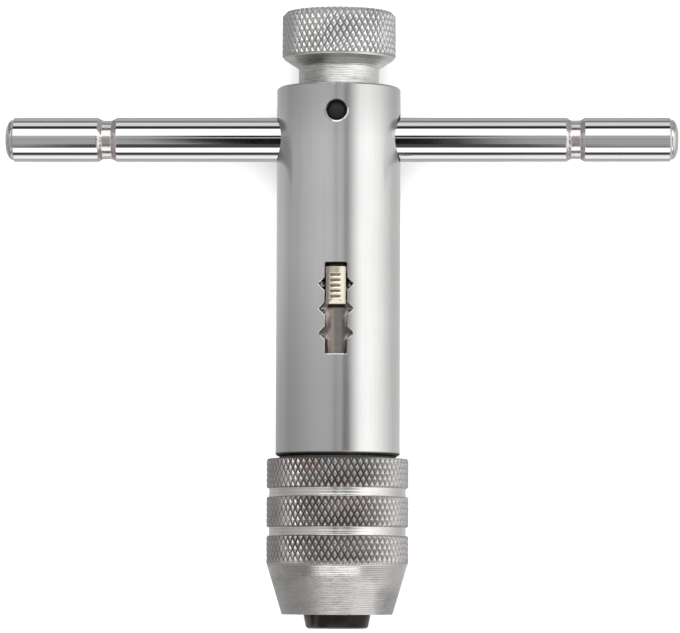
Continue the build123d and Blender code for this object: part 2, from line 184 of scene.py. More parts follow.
class NodeSheet:
    """The node tree of one material or world, filled from Python expressions."""

    def __init__(self, owner: bpy.types.Material | bpy.types.World) -> None:
        """Takes over the owner's node tree and empties it.

        Args:
            owner: The material or world that is painted.
        """
        owner.use_nodes = True
        self.tree = owner.node_tree
        self.tree.nodes.clear()

    def node(
        self,
        kind: str,
        settings: Mapping[str, Any] | None = None,
        inputs: Mapping[str | int, Any] | None = None,
    ) -> bpy.types.Node:
        """Adds one node, sets it up, then fills its sockets.

        Args:
            kind: Blender's node type.
            settings: Attributes of the node, such as its operation.
            inputs: Values, signals or sockets for the node's inputs.

        Returns:
            The new node.
        """
        made = self.tree.nodes.new(kind)
        for name, value in (settings or {}).items():
            setattr(made, name, value)
        for name, value in (inputs or {}).items():
            socket = made.inputs[name]
            if isinstance(value, Signal):
                self.tree.links.new(value.socket, socket)
            elif isinstance(value, bpy.types.NodeSocket):
                self.tree.links.new(value, socket)
            else:
                socket.default_value = value
        return made

    def maths(self, operation: str, *terms: Signal | float, clamp: bool = False) -> Signal:
        """One Math node.

        Args:
            operation: Blender's name of the operation.
            *terms: One to three terms.
            clamp: True where the result is held between 0 and 1.

        Returns:
            The result.
        """
        settings = {"operation": operation, "use_clamp": clamp}
        made = self.node("ShaderNodeMath", settings, dict(enumerate(terms)))
        return Signal(self, made.outputs[0])

    def place(self) -> bpy.types.NodeSocket:
        """Object coordinates of the shaded point.

        Returns:
            The coordinates in millimetres.
        """
        metres = self.node("ShaderNodeTexCoord").outputs["Object"]
        scale = {0: metres, "Scale": 1 / MM}
        return self.node("ShaderNodeVectorMath", {"operation": "SCALE"}, scale).outputs["Vector"]

    def axes(self, vector: bpy.types.NodeSocket) -> tuple[Signal, Signal, Signal]:
        """The vector's three parts."""
        made = self.node("ShaderNodeSeparateXYZ", None, {0: vector})
        return tuple(Signal(self, made.outputs[i]) for i in range(3))

    def noise(
        self, vector: bpy.types.NodeSocket, scale: float, detail: float = 3.0, rough: float = 0.5
    ) -> Signal:
        """Soft noise between 0 and 1.

        Args:
            vector: Where the noise is read.
            scale: Blotches per unit of the vector.
            detail: Number of finer layers.
            rough: Share of the finer layers.

        Returns:
            The noise value.
        """
        made = self.node(
            "ShaderNodeTexNoise",
            None,
            {"Vector": vector, "Scale": scale, "Detail": detail, "Roughness": rough},
        )
        return Signal(self, made.outputs[0])

    def streaks(
        self,
        vector: bpy.types.NodeSocket,
        stretch: Triple,
        detail: float = 3.0,
        rough: float = 0.5,
        scale: float = 1.0,
    ) -> Signal:
        """Noise drawn out into streaks.

        Args:
            vector: Where the noise is read.
            stretch: Blotches along each axis; the streaks run along the smaller numbers.
            detail: Number of finer layers.
            rough: Share of the finer layers.
            scale: Factor on all three axes.

        Returns:
            The noise value.
        """
        axes = {0: vector, 1: stretch}
        drawn = self.node("ShaderNodeVectorMath", {"operation": "MULTIPLY"}, axes)
        return self.noise(drawn.outputs["Vector"], scale, detail, rough)

    def distance(self, first: Signal, second: Signal) -> Signal:
        """Length of the flat vector that has these two parts."""
        return self.maths("SQRT", first * first + second * second)

    def cells(self, vector: bpy.types.NodeSocket, scale: float) -> Signal:
        """Distance to the nearest point of a scattered set, for pits and specks."""
        made = self.node("ShaderNodeTexVoronoi", None, {"Vector": vector, "Scale": scale})
        return Signal(self, made.outputs["Distance"])

    def mix(
        self,
        share: Signal | float,
        first: Colour | bpy.types.NodeSocket,
        second: Colour | bpy.types.NodeSocket,
    ) -> bpy.types.NodeSocket:
        """Colour that goes from first to second as share goes from 0 to 1.

        Args:
            share: Share of the second colour.
            first: Colour at 0.
            second: Colour at 1.

        Returns:
            The mixed colour's socket.
        """
        first, second = ((*c, 1.0) if isinstance(c, tuple) else c for c in (first, second))
        made = self.node(
            "ShaderNodeMix",
            {"data_type": "RGBA", "clamp_factor": True},
            {0: share, 6: first, 7: second},
        )
        return made.outputs[2]

    def shades(
        self, share: Signal | float, tint: Colour, low: float, high: float
    ) -> bpy.types.NodeSocket:
        """The tint times low where share is 0, and times high where it is 1."""
        return self.mix(share, tinted(tint, low), tinted(tint, high))

    def bump(self, height: Signal, micrometres: float) -> bpy.types.NodeSocket:
        """Normal bent by a height field of that full height."""
        inputs = {"Height": height, "Distance": micrometres * 1e-6}
        return self.node("ShaderNodeBump", None, inputs).outputs["Normal"]

    def metal(
        self,
        colour: Colour | bpy.types.NodeSocket,
        roughness: Signal | float,
        normal: bpy.types.NodeSocket,
        metallic: Signal | float = 1.0,
        specular: float = 0.5,
    ) -> None:
        """Ends the sheet in a principled surface.

        Args:
            colour: Base colour.
            roughness: Microscopic roughness.
            normal: Bent normal.
            metallic: Share of bare metal, against paint or dirt.
            specular: Strength of the gloss on what is not metal.
        """
        surface = self.node(
            "ShaderNodeBsdfPrincipled",
            None,
            {
                "Base Color": (*colour, 1.0) if isinstance(colour, tuple) else colour,
                "Roughness": roughness,
                "Metallic": metallic,
                "Normal": normal,
                "Specular IOR Level": specular,
            },
        )
        self.node("ShaderNodeOutputMaterial", None, {"Surface": surface.outputs[0]})


# Finishes


def tinted(colour: Colour, by: float) -> Colour:
    """The colour made darker or lighter by a factor."""
    return tuple(min(1.0, part * by) for part in colour)


@dataclass(frozen=True)
class Finish:
    """A surface finish, which paints one Blender material."""

    name: str

    def material(self) -> bpy.types.Material:
        """The finish's material, made the first time it is asked for.

        Returns:
            The material.
        """
        known = bpy.data.materials.get(self.name)
        if known is not None:
            return known
        made = bpy.data.materials.new(self.name)
        self.paint(NodeSheet(made))
        return made

    def paint(self, sheet: NodeSheet) -> None:
        """Fills the material's nodes."""
        raise NotImplementedError


@dataclass(frozen=True)
class SatinNickel(Finish):
    """Fine-ground and nickel-plated tube: soft gloss, faint grinding rings, a few scuffs.

    Attributes:
        rims: Stations of the tube's two ends.
        window: Stations of the selector window's two ends.
        window_half: Half of the window's width.
        pin_hole: Station and radius of the pin's hole, and the width of its bevel.
        bar_hole: Station and radius of the bar's hole.
        front: Heights between which the side with the window begins.
        film: Share of the painted shade towards the tube's lower left and its upper end.
        lip_rise: Height of the rounded lip under the pin's hole, in micrometres.
        sill_rise: Height of the rounded lip at the window's lower end, in micrometres.
    """

    name: str = "satin_nickel"
    tint: Colour = (0.66, 0.655, 0.65)
    roughness: float = 0.15
    rims: tuple[float, float] = (27.74, 87.3)
    window: tuple[float, float] = (43.77, 58.27)
    window_half: float = 1.7
    pin_hole: tuple[float, float, float] = (82.81, 1.5, 0.24)
    bar_hole: tuple[float, float] = (78.98, 3.64)
    front: tuple[float, float] = (8.0, 8.6)
    film: float = 0.7
    lip_rise: float = 150.0
    sill_rise: float = 85.0
    # Near-black of the painted shade, and the dark grey of the painted shade on the window's long
    # side walls
    painted_shade_colour: Colour = (0.012, 0.010, 0.010)
    jamb_shade_colour: Colour = (0.05, 0.048, 0.046)

    def paint(self, sheet: NodeSheet) -> None:
        """Grinding rings and clouds on the plating, worn rims, thin scuffs, rounded lips.

        Args:
            sheet: The material's nodes.
        """
        place = sheet.place()
        x, y, z = sheet.axes(place)
        aside, front = abs(x), z.rise(*self.front)
        (foot, head), (sill_y, lintel) = self.rims, self.window
        rings = sheet.streaks(place, (0.05, 9.0, 0.05), 5.0, 0.6)
        cloud = sheet.noise(place, 0.11, 4.0)
        streak = sheet.streaks(place, (1.6, 0.05, 1.6))
        scuff = sheet.streaks(place, (7.0, 0.5, 3.0), 2.0, scale=0.6).rise(0.70, 0.78)
        rim = (y.rise(foot + 0.9, foot + 0.3) + y.rise(head - 0.7, head - 0.2)).clamped()
        shade = (cloud * 0.6 + streak * 0.4).rise(0.25, 0.8)
        colour = sheet.shades(shade, self.tint, 0.94, 1.03)
        colour = sheet.mix(rim * 0.3, colour, tinted(self.tint, 1.15))
        # Painted shade: the tube darker towards its lower left and towards its upper end
        film = y.rise(64.0, 35.0) * x.rise(2.5, 0.5) * self.film + y.rise(76.0, 86.5) * self.film
        colour = sheet.mix(film.clamped(), colour, tinted(self.tint, 0.72))
        narrow = aside.rise(self.window_half + 0.05, self.window_half - 0.05)
        # Painted shade under the window's upper edge
        top = y.band(lintel - 0.2, lintel + 0.15, 0.06) * narrow
        bar_y, bar_radius = self.bar_hole
        hole = sheet.distance(y - bar_y, z) - bar_radius
        # Painted shadow at the tube's sides where the bar leaves its hole
        corner = hole.rise(0.65, 0.3) * z.rise(3.3, 2.0) * aside.rise(8.0, 8.8)
        pin_y, pin_radius, bevel = self.pin_hole
        off = y - pin_y
        out = sheet.distance(x, off) - pin_radius
        # Painted shade in the gap at the foot, under the window's upper edge, in the pin's hole
        # and where the bar leaves
        painted_shade = y.rise(foot + 0.62, foot + 0.3)
        painted_shade = (painted_shade + (top + out.rise(bevel, bevel - 0.05)) * front + corner).clamped()
        colour = sheet.mix(painted_shade * 0.92, colour, self.painted_shade_colour)
        # Painted shade on the window's long side walls, deeper towards the right
        jamb_shade = aside.band(1.5, 1.84, 0.06) * y.band(*self.window, 0.1) * front
        colour = sheet.mix(jamb_shade * (0.55 + x.rise(-1.0, 1.0) * 0.25), colour, self.jamb_shade_colour)
        roughness = self.roughness + cloud * 0.05 + scuff * 0.12 + rim * 0.04 + painted_shade * 0.3
        lip = ((2.0 * bevel - out) / bevel).clamped() * off.rise(0.3, 0.0)
        sill = ((y - sill_y + 0.15) / 0.15).clamped() * aside.rise(self.window_half + 0.05, 1.6)
        sill = sill * (y - sill_y).rise(0.3, 0.2)
        lips = (lip * self.lip_rise + sill * self.sill_rise) * front
        sheet.metal(colour, roughness, sheet.bump(rings * 0.25 + scuff * 0.2 + lips, 1.0))


@dataclass(frozen=True)
class TurnedNickel(Finish):
    """Lathe-turned and plated surface with visible tool rings, stains and pits.

    Attributes:
        ring_pitch: Distance of the tool's rings.
        ring_height: Their height, in micrometres.
        stain: Strength of the blotches.
        facet: Start and end station of a shallow facet, and its rise in micrometres.
        streaked_shade: Shares of the painted shade, broken into streaks, at the left and at the
            lower right.
        shade_left: Stations across between which the left one comes in.
        shade_right: Stations across of the right one.
        shade_low: Stations along the tool between which the right one comes in.
    """

    name: str = "turned_nickel"
    tint: Colour = (0.62, 0.61, 0.59)
    roughness: float = 0.26
    ring_pitch: float = 0.28
    ring_height: float = 24.0
    stain: float = 0.5
    facet: tuple[float, float, float] = (0.0, 1.0, 0.0)
    streaked_shade: tuple[float, float] = (0.0, 0.0)
    shade_left: tuple[float, float] = (-1.3, -2.9)
    shade_right: tuple[float, float] = (6.3, 10.2)
    shade_low: tuple[float, float] = (8.0, 5.0)
    stain_colour: Colour = (0.40, 0.375, 0.34)
    pit_colour: Colour = (0.14, 0.11, 0.10)

    def paint(self, sheet: NodeSheet) -> None:
        """Tool rings of uneven depth, blotches, streaks of painted shade, small pits, one shallow
        facet.

        Args:
            sheet: The material's nodes.
        """
        place = sheet.place()
        x, y, _ = sheet.axes(place)
        wander = sheet.streaks(place, (0.1, 0.6, 0.1))
        turns = y * (math.tau / self.ring_pitch) + wander * 9.0
        tool = sheet.maths("SINE", turns) * 0.5 + 0.5
        fine = sheet.streaks(place, (0.25, 7.0, 0.25), 5.0, 0.65)
        blotch = sheet.noise(place, 0.45, 5.0, 0.65).rise(0.47, 0.68) * self.stain
        pits = sheet.cells(place, 1.3).rise(0.16, 0.05) * sheet.noise(place, 0.7).rise(0.5, 0.62)
        colour = sheet.shades(fine, self.tint, 0.86, 1.1)
        colour = sheet.mix(blotch, colour, self.stain_colour)
        colour = sheet.mix(pits * 0.7, colour, self.pit_colour)
        roughness = self.roughness + blotch * 0.16 + pits * 0.2 + fine * 0.06
        start, end, lift = self.facet
        climb = ((y - start) / (end - start)).clamped()
        slope = climb * (lift / self.ring_height)
        polish = climb.rise(0.0, 0.6) * y.rise(end + 0.3, end - 0.1)
        roughness = roughness - polish * 0.12
        height = (tool * 0.35 + fine * 0.65 - pits * 0.8) * (1.0 - polish * 0.6) + slope
        # Painted shade, broken into streaks, at the left and at the lower right
        streak = sheet.streaks(place, (0.9, 5.0, 0.9), 4.0, 0.7)
        left, right = self.streaked_shade
        low_right = x.band(*self.shade_right, 1.6) * y.rise(*self.shade_low)
        streaked_shade = x.rise(*self.shade_left) * left + low_right * right
        streaked_shade = (streaked_shade * streak.rise(0.15, 0.65)).clamped()
        colour = sheet.mix(streaked_shade, colour, tinted(self.tint, 0.42))
        sheet.metal(colour, roughness, sheet.bump(height, self.ring_height), 1.0 - pits * 0.5)


@dataclass(frozen=True)
class KnurledNickel(Finish):
    """Pressed diamond knurl: bright flattened crests, grime in the valleys.

    Attributes:
        crest: Radius at the crests.
        depth: Depth of the valleys.
        grime: Strength of the grime.
        rust: Share of the reddish grime.
        reach: Shares of the depth between which the grime comes in.
        side_lightening: Shares by which painted light thins the grime on the left and the right
            side.
        lighten_left: Stations across between which that painted light comes in on the left side.
        lighten_right: The same of the right side.
        glint_strip: Stations across of the strip with a painted highlight on its crests.
        glint_tint: Brightness of that painted highlight.
        chamfer_from: Station from which the top edge is bevelled.
        flank_light: Factor of the painted light on the two flanks; above 1 lighter, below 1
            darker.
    """

    name: str = "knurled_nickel"
    tint: Colour = (0.68, 0.67, 0.655)
    crest: float = 11.42
    depth: float = 0.3
    grime: float = 1.0
    rust: float = 0.45
    reach: tuple[float, float] = (0.1, 0.85)
    side_lightening: tuple[float, float] = (0.3, 0.55)
    lighten_left: tuple[float, float] = (-5.5, -8.5)
    lighten_right: tuple[float, float] = (2.5, 9.0)
    glint_strip: tuple[float, float] = (-8.7, -5.3)
    glint_tint: float = 0.78
    chamfer_from: float = 1000.0
    flank_light: float = 1.28
    grime_colour: Colour = (0.058, 0.050, 0.047)
    rust_colour: Colour = (0.12, 0.062, 0.054)
    red_colour: Colour = (0.52, 0.42, 0.40)
    # Colour of the painted highlight
    glint_colour: Colour = (0.97, 0.96, 0.94)

    def paint(self, sheet: NodeSheet) -> None:
        """Grime by depth below the crests, reddish where a slow noise lets it.

        Args:
            sheet: The material's nodes.
        """
        place = sheet.place()
        x, y, z = sheet.axes(place)
        radius = sheet.distance(x, z) + sheet.maths("MAXIMUM", y - self.chamfer_from, 0.0)
        first, last = (self.crest - self.depth * share for share in self.reach)
        low = radius.rise(first, last)
        # Painted highlight on the crests of a strip at the left
        glint_strip = x.band(*self.glint_strip, 1.2) * (1.0 - low)
        # Painted light: the grime thinned towards the left and the right side, so they read
        # lighter
        left, right = self.side_lightening
        low = low * (1.0 - x.rise(*self.lighten_left) * left - x.rise(*self.lighten_right) * right)
        patch = sheet.noise(place, 0.28, 3.0).rise(0.34, 0.62)
        grain = sheet.noise(place, 3.2, 4.0, 0.6)
        dirt = (low * (0.85 + patch * 0.4) * (0.75 + grain * 0.6)).clamped() * self.grime
        red = sheet.noise(place, 0.21, 2.0).rise(0.50, 0.64) * self.rust
        dirt_colour = sheet.mix(red, self.grime_colour, self.rust_colour)
        colour = sheet.shades(grain, self.tint, 0.88, 1.08)
        # Painted light on the two flanks, scaled by the flank factor
        flank_light = (abs(x) / self.crest).rise(0.3, 0.7) * 0.85
        colour = sheet.mix(flank_light, colour, tinted(self.tint, self.flank_light))
        colour = sheet.mix(red * 0.22, colour, self.red_colour)
        # Colour of the painted highlight, dimmed by its tint
        painted_glint = tinted(self.glint_colour, self.glint_tint)
        colour = sheet.mix(glint_strip * grain.rise(0.3, 0.6), colour, painted_glint)
        colour = sheet.mix(dirt, colour, dirt_colour)
        roughness = 0.13 + grain * 0.09 + dirt * 0.4
        height = grain * 0.7 + sheet.noise(place, 9.0, 2.0) * 0.3
        sheet.metal(
            colour, roughness, sheet.bump(height, 14.0), 1.0 - dirt * 0.35, specular=0.12
        )


@dataclass(frozen=True)
class BrightChrome(Finish):
    """Polished chrome bar with hairline rings, and brown grime in its two stop grooves."""

    name: str = "bright_chrome"
    tint: Colour = (0.575, 0.57, 0.57)
    grooves: tuple[float, float] = (-37.5, 38.3)
    groove_reach: float = 0.95
    film_colour: Colour = (0.50, 0.42, 0.39)
    grime_colour: Colour = (0.11, 0.038, 0.032)

    def paint(self, sheet: NodeSheet) -> None:
        """Hairline rings round the bar, grime lines at the feet of the groove walls.

        Args:
            sheet: The material's nodes.
        """
        place = sheet.place()
        x, _, _ = sheet.axes(place)
        hair = sheet.streaks(place, (8.0, 0.2, 0.2), 4.0, 0.6)
        smear = sheet.noise(place, 0.3, 3.0)
        speck = sheet.noise(place, 2.4, 3.0, 0.6)
        grime: Signal | float = 0.0
        inside: Signal | float = 0.0
        for centre in self.grooves:
            off = abs(x - centre)
            foot = off.band(self.groove_reach - 0.12, self.groove_reach + 0.16, 0.14)
            grime = grime + foot * speck.rise(0.42, 0.56)
            inside = inside + off.rise(1.7, 1.2)
        film = inside * speck.rise(0.40, 0.72) * 0.4
        grime = (grime + film * 0.4).clamped()
        colour = sheet.mix(smear * 0.5, self.tint, tinted(self.tint, 0.94))
        colour = sheet.mix(film, colour, self.film_colour)
        colour = sheet.mix(grime * 0.9, colour, self.grime_colour)
        roughness = 0.035 + smear * 0.03 + inside * 0.1 + grime * 0.4
        sheet.metal(colour, roughness, sheet.bump(hair, 0.22), 1.0 - grime * 0.7)


@dataclass(frozen=True)
class BlackOxide(Finish):
    """Blackened hardened steel, glossy with oil, rubbed greyer where it touches work."""

    name: str = "black_oxide"
    tint: Colour = (0.014, 0.012, 0.012)
    brown: Colour = (0.022, 0.015, 0.014)
    # Grey of rubbed wear, also laid on the left side as painted light
    worn: Colour = (0.16, 0.15, 0.145)
    worn_tips: tuple[float, float] = (0.34, 0.12)
    painted_light_left: tuple[float, float] = (-2.4, -3.6)

    def paint(self, sheet: NodeSheet) -> None:
        """Oily black with brown clouds, rubbed patches and fine machining rings.

        Args:
            sheet: The material's nodes.
        """
        place = sheet.place()
        x, y, _ = sheet.axes(place)
        cloud = sheet.noise(place, 0.5, 3.0)
        rings = sheet.streaks(place, (0.3, 5.0, 0.3), 4.0, 0.6)
        rub = sheet.noise(place, 1.1, 4.0, 0.7).rise(0.58, 0.78)
        colour = sheet.mix(cloud, self.tint, self.brown)
        tips = (y.rise(*self.worn_tips) * 0.5).clamped()
        # Rubbed patches and worn tips, then painted light that greys the left side
        for share in (rub * 0.10, tips, x.rise(*self.painted_light_left) * 0.3):
            colour = sheet.mix(share, colour, self.worn)
        roughness = 0.22 + cloud * 0.14 + rub * 0.12
        sheet.metal(colour, roughness, sheet.bump(rings, 5.0), 0.6, specular=0.18)


@dataclass(frozen=True)
class ButtonBrass(Finish):
    """Cream-coloured plated brass button, olive grime in its finger grooves."""

    name: str = "button_brass"
    tint: Colour = (0.62, 0.57, 0.48)
    grooves_centre: float = 54.57
    crown_height: float = 10.9
    crown_radius: float = 1.872
    # Colours of the painted shade on the sides and the left edge, the painted light on the right
    # edge and the painted highlight on the ridges
    side_shade_colour: Colour = (0.32, 0.27, 0.20)
    left_shade_colour: Colour = (0.30, 0.26, 0.20)
    right_light_colour: Colour = (0.86, 0.79, 0.66)
    ridge_highlight_colour: Colour = (0.96, 0.92, 0.80)
    grime_colour: Colour = (0.10, 0.085, 0.045)

    def paint(self, sheet: NodeSheet) -> None:
        """Grime by depth below the crowned face, fine cross scratches on the face.

        Args:
            sheet: The material's nodes.
        """
        place = sheet.place()
        x, y, z = sheet.axes(place)
        crown = sheet.maths("SQRT", self.crown_radius**2 - x * x)
        depth = crown + (self.crown_height - self.crown_radius) - z
        grooved = abs(y - self.grooves_centre).rise(2.2, 2.05)
        grime = depth.rise(0.035, 0.09) * grooved
        # Painted shade where the cap falls away below its crown, outside the grooves
        side = depth.rise(0.3, 1.2) * (1.0 - grooved)
        speck = sheet.noise(place, 2.2, 4.0, 0.6)
        cross = sheet.streaks(place, (1.2, 8.0, 1.2), 4.0, 0.6)
        # Painted highlight on the ridges between the grooves
        ridge_highlight = x.band(-0.95, 0.75, 0.12) * grooved * depth.rise(0.07, 0.02)
        colour = sheet.shades(speck, self.tint, 0.88, 1.1)
        # Painted shade on the sides and the left edge, painted light on the right edge, painted
        # highlights on the ridges, then grime in the grooves
        for share, paint in (
            ((side * 0.5).clamped(), self.side_shade_colour),
            (x.rise(-0.85, -1.2) * 0.45, self.left_shade_colour),
            (x.rise(0.8, 1.15) * 0.3, self.right_light_colour),
            (ridge_highlight * 0.9, self.ridge_highlight_colour),
            (grime * (0.7 + speck * 0.5), self.grime_colour),
        ):
            colour = sheet.mix(share, colour, paint)
        roughness = 0.24 + speck * 0.12 + grime * 0.35
        sheet.metal(colour, roughness, sheet.bump(cross, 5.0), 1.0 - grime * 0.6)


@dataclass(frozen=True)
class BareSteel(Finish):
    """Plain steel with a drawn or ground grain and a thin brown film of old oil."""

    name: str = "bare_steel"
    tint: Colour = (0.44, 0.425, 0.41)
    film_colour: Colour = (0.36, 0.30, 0.265)
    grain_along: Triple = (0.4, 6.0, 0.4)
    roughness: float = 0.3
    film: float = 0.6
    grain_height: float = 5.0

    def paint(self, sheet: NodeSheet) -> None:
        """Directional grain, blotches of oil film and a few nicks.

        Args:
            sheet: The material's nodes.
        """
        place = sheet.place()
        grain = sheet.streaks(place, self.grain_along, 5.0, 0.65)
        blotch = sheet.noise(place, 0.5, 4.0, 0.6)
        nick = sheet.cells(place, 0.9).rise(0.10, 0.04)
        colour = sheet.shades(grain, self.tint, 0.85, 1.15)
        colour = sheet.mix(blotch.rise(0.35, 0.7) * self.film, colour, self.film_colour)
        colour = sheet.mix(nick * 0.5, colour, tinted(self.tint, 0.5))
        roughness = self.roughness + blotch * 0.14
        sheet.metal(colour, roughness, sheet.bump(grain - nick * 0.4, self.grain_height))


@dataclass(frozen=True)
class SlideSteel(Finish):
    """Ground slide plate, browned by old oil on one side of a wear line and grey on the other.

    Attributes:
        split: Station across of the wear line.
        edge: Station of the plate's rounded upper edge.
    """

    name: str = "slide_steel"
    brown: Colour = (0.44, 0.36, 0.33)
    grey: Colour = (0.31, 0.30, 0.295)
    split: float = -0.4
    edge: float = 51.25
    film_colour: Colour = (0.24, 0.20, 0.18)
    # Colour of the painted highlight on the rounded upper edge
    edge_highlight_colour: Colour = (0.7, 0.66, 0.64)

    def paint(self, sheet: NodeSheet) -> None:
        """Two tones that meet along the wear line, under a fine lengthwise grain.

        Args:
            sheet: The material's nodes.
        """
        place = sheet.place()
        x, y, _ = sheet.axes(place)
        grain = sheet.streaks(place, (5.0, 0.5, 5.0), 4.0, 0.6)
        blotch = sheet.noise(place, 0.8, 4.0, 0.6)
        line = x + (blotch - 0.5) * 0.25
        tone = sheet.mix(line.rise(self.split - 0.15, self.split + 0.15), self.brown, self.grey)
        colour = sheet.mix(blotch.rise(0.4, 0.75) * 0.35, tone, self.film_colour)
        roughness = 0.14 + grain * 0.06 + blotch * 0.08
        # Painted highlight along the rounded upper edge, which the lip's bump also rounds
        rim = y.band(self.edge - 0.25, self.edge, 0.06) * 0.6
        colour = sheet.mix(rim, colour, self.edge_highlight_colour)
        lip = ((self.edge - y) / 0.25).clamped()
        sheet.metal(colour, roughness, sheet.bump(grain * 2.0 + lip * 90.0, 1.0))


@dataclass(frozen=True)
class DarkSeal(Finish):
    """Near-black washer or pin end: dull, dusty, with a fine grit."""

    name: str = "dark_seal"
    tint: Colour = (0.012, 0.011, 0.012)
    dust: Colour = (0.06, 0.055, 0.052)
    metallic: float = 0.0
    specular: float = 0.25

    def paint(self, sheet: NodeSheet) -> None:
        """Dust that gathers in a slow noise, over a dull dark base.

        Args:
            sheet: The material's nodes.
        """
        place = sheet.place()
        cloud = sheet.noise(place, 0.9, 4.0, 0.65)
        grit = sheet.noise(place, 6.0, 3.0, 0.6)
        dusty = (cloud * 0.6 + grit * 0.4).rise(0.48, 0.72) * 0.55
        colour = sheet.mix(dusty, self.tint, self.dust)
        roughness = 0.38 + dusty * 0.35
        sheet.metal(colour, roughness, sheet.bump(grit, 8.0), self.metallic, self.specular)


@dataclass(frozen=True)
class StudioPaper(Finish):
    """Pale matt paper sweep under the tool."""

    name: str = "studio_paper"
    tint: Colour = (0.96, 0.96, 0.96)

    def paint(self, sheet: NodeSheet) -> None:
        """Even pale paper with a barely visible tooth.

        Args:
            sheet: The material's nodes.
        """
        tooth = sheet.noise(sheet.place(), 0.8, 3.0)
        colour = sheet.shades(tooth, self.tint, 0.992, 1.0)
        sheet.metal(colour, 0.85, sheet.bump(tooth, 10.0), 0.0)


CLIP_STEEL = BareSteel("clip_steel", (0.42, 0.39, 0.37), film=0.5)
SPRING_WIRE = BareSteel("spring_wire", (0.46, 0.45, 0.44), film=0.3, roughness=0.22)


# Surfaces


class Axis(Enum):
    """Axis that a turned surface goes round."""

    X = "x"
    Y = "y"


@dataclass
class Skin:
    """A surface given as a grid of points, rows along a profile and columns round it.

    Attributes:
        points: Array of (rows, columns, 3) in millimetres; the columns close on themselves.
        looped: True where the profile is a closed loop, False where each end is a pole.
        height: Array of (rows, columns) that tells valleys from crests where faces are split.
    """

    points: np.ndarray
    looped: bool
    height: np.ndarray | None = None

    def face_sets(self) -> tuple[np.ndarray, np.ndarray | None]:
        """Corner numbers of the grid's faces, and of the fans at the poles.

        Each cell of the grid is a quad between two neighbour rows and two neighbour columns.
        Where a height is given, the cell is split along whichever diagonal lies lower, so a
        valley keeps a straight floor.

        Returns:
            The cells' faces, row by row, and the fans' triangles or None.
        """
        rows, columns = self.points.shape[:2]
        last = rows if self.looped else rows - 1
        i, j = np.meshgrid(np.arange(last), np.arange(columns), indexing="ij")
        up, right = (i + 1) % rows, (j + 1) % columns
        a, b = i * columns + j, i * columns + right
        c, d = up * columns + right, up * columns + j
        if self.height is None:
            cells = np.stack([a, b, c, d], axis=-1).reshape(-1, 4)
        else:
            h = self.height.ravel()
            ac = (h[a] + h[c] <= h[b] + h[d] + LEVEL_TOLERANCE)[..., None]
            one = np.where(ac, np.stack([a, b, c], -1), np.stack([a, b, d], -1))
            two = np.where(ac, np.stack([a, c, d], -1), np.stack([b, c, d], -1))
            cells = np.stack([one, two], axis=2).reshape(-1, 3)
        if self.looped:
            return cells, None
        k = np.arange(columns)
        k_next = (k + 1) % columns
        first, base = rows * columns, (rows - 1) * columns
        start = np.stack([k_next, k, np.full(columns, first)], -1)
        end = np.stack([base + k, base + k_next, np.full(columns, first + 1)], -1)
        return cells, np.concatenate([start, end])

    def vertices(self) -> np.ndarray:
        """All points in a list, with the two poles at its end where there are poles.

        Returns:
            Array of (n, 3) in millimetres.
        """
        flat = self.points.reshape(-1, 3)
        if self.looped:
            return flat
        poles = np.stack([self.points[0].mean(axis=0), self.points[-1].mean(axis=0)])
        return np.concatenate([flat, poles])


def signed_volume(points: np.ndarray, faces: np.ndarray) -> float:
    """Volume enclosed by triangles or quads, negative where they face inwards.

    Args:
        points: Array of (n, 3).
        faces: Array of corner numbers, three or four to a face.

    Returns:
        A sixth of the sum of each triangle's triple product.
    """
    total = 0.0
    for second in range(1, faces.shape[1] - 1):
        p, q, r = (points[faces[:, k]] for k in (0, second, second + 1))
        total += float(np.einsum("ij,ij->i", p, np.cross(q, r)).sum()) / 6
    return total


def column(
    items: bpy.types.bpy_prop_collection, name: str, width: int = 1, kind: type = np.float32
) -> np.ndarray:
    """One attribute of every item of a mesh.

    Args:
        items: The mesh's corners, points or faces.
        name: The attribute.
        width: How many numbers each item has.
        kind: Type of those numbers.

    Returns:
        Array of (n,), or of (n, width) where the width is more than 1.
    """
    values = np.zeros(len(items) * width, kind)
    items.foreach_get(name, values)
    return values if width == 1 else values.reshape(-1, width)


def linked(name: str, data: bpy.types.ID) -> bpy.types.Object:
    """A new object in the scene.

    Args:
        name: Its name.
        data: Its mesh, camera or light.

    Returns:
        The object.
    """
    made = bpy.data.objects.new(name, data)
    bpy.context.scene.collection.objects.link(made)
    return made


def mesh_object(
    name: str,
    points: np.ndarray,
    face_sets: Sequence[np.ndarray],
    smooth: np.ndarray | bool = True,
) -> bpy.types.Object:
    """Makes an object from whole arrays, with its faces turned outwards.

    Args:
        name: Name of the object and its mesh.
        points: Array of (n, 3) in millimetres.
        face_sets: Arrays of corner numbers, each with one number of corners to a face.
        smooth: True for smooth faces, or one flag for each face.

    Returns:
        The linked object.
    """
    if sum(signed_volume(points, faces) for faces in face_sets) < 0:
        face_sets = [faces[:, ::-1] for faces in face_sets]
    corners = np.concatenate([faces.ravel() for faces in face_sets]).astype(np.int32)
    sizes = np.concatenate([np.full(len(faces), faces.shape[1]) for faces in face_sets])
    starts = (np.cumsum(sizes) - sizes).astype(np.int32)
    mesh = bpy.data.meshes.new(name)
    mesh.vertices.add(len(points))
    mesh.vertices.foreach_set("co", (points * MM).astype(np.float32).ravel())
    mesh.loops.add(len(corners))
    mesh.loops.foreach_set("vertex_index", corners)
    mesh.polygons.add(len(sizes))
    mesh.polygons.foreach_set("loop_start", starts)
    flags = np.broadcast_to(np.asarray(smooth, dtype=bool), (len(sizes),))
    mesh.polygons.foreach_set("use_smooth", np.ascontiguousarray(flags))
    mesh.update(calc_edges=True)
    mesh.validate()
    return linked(name, mesh)


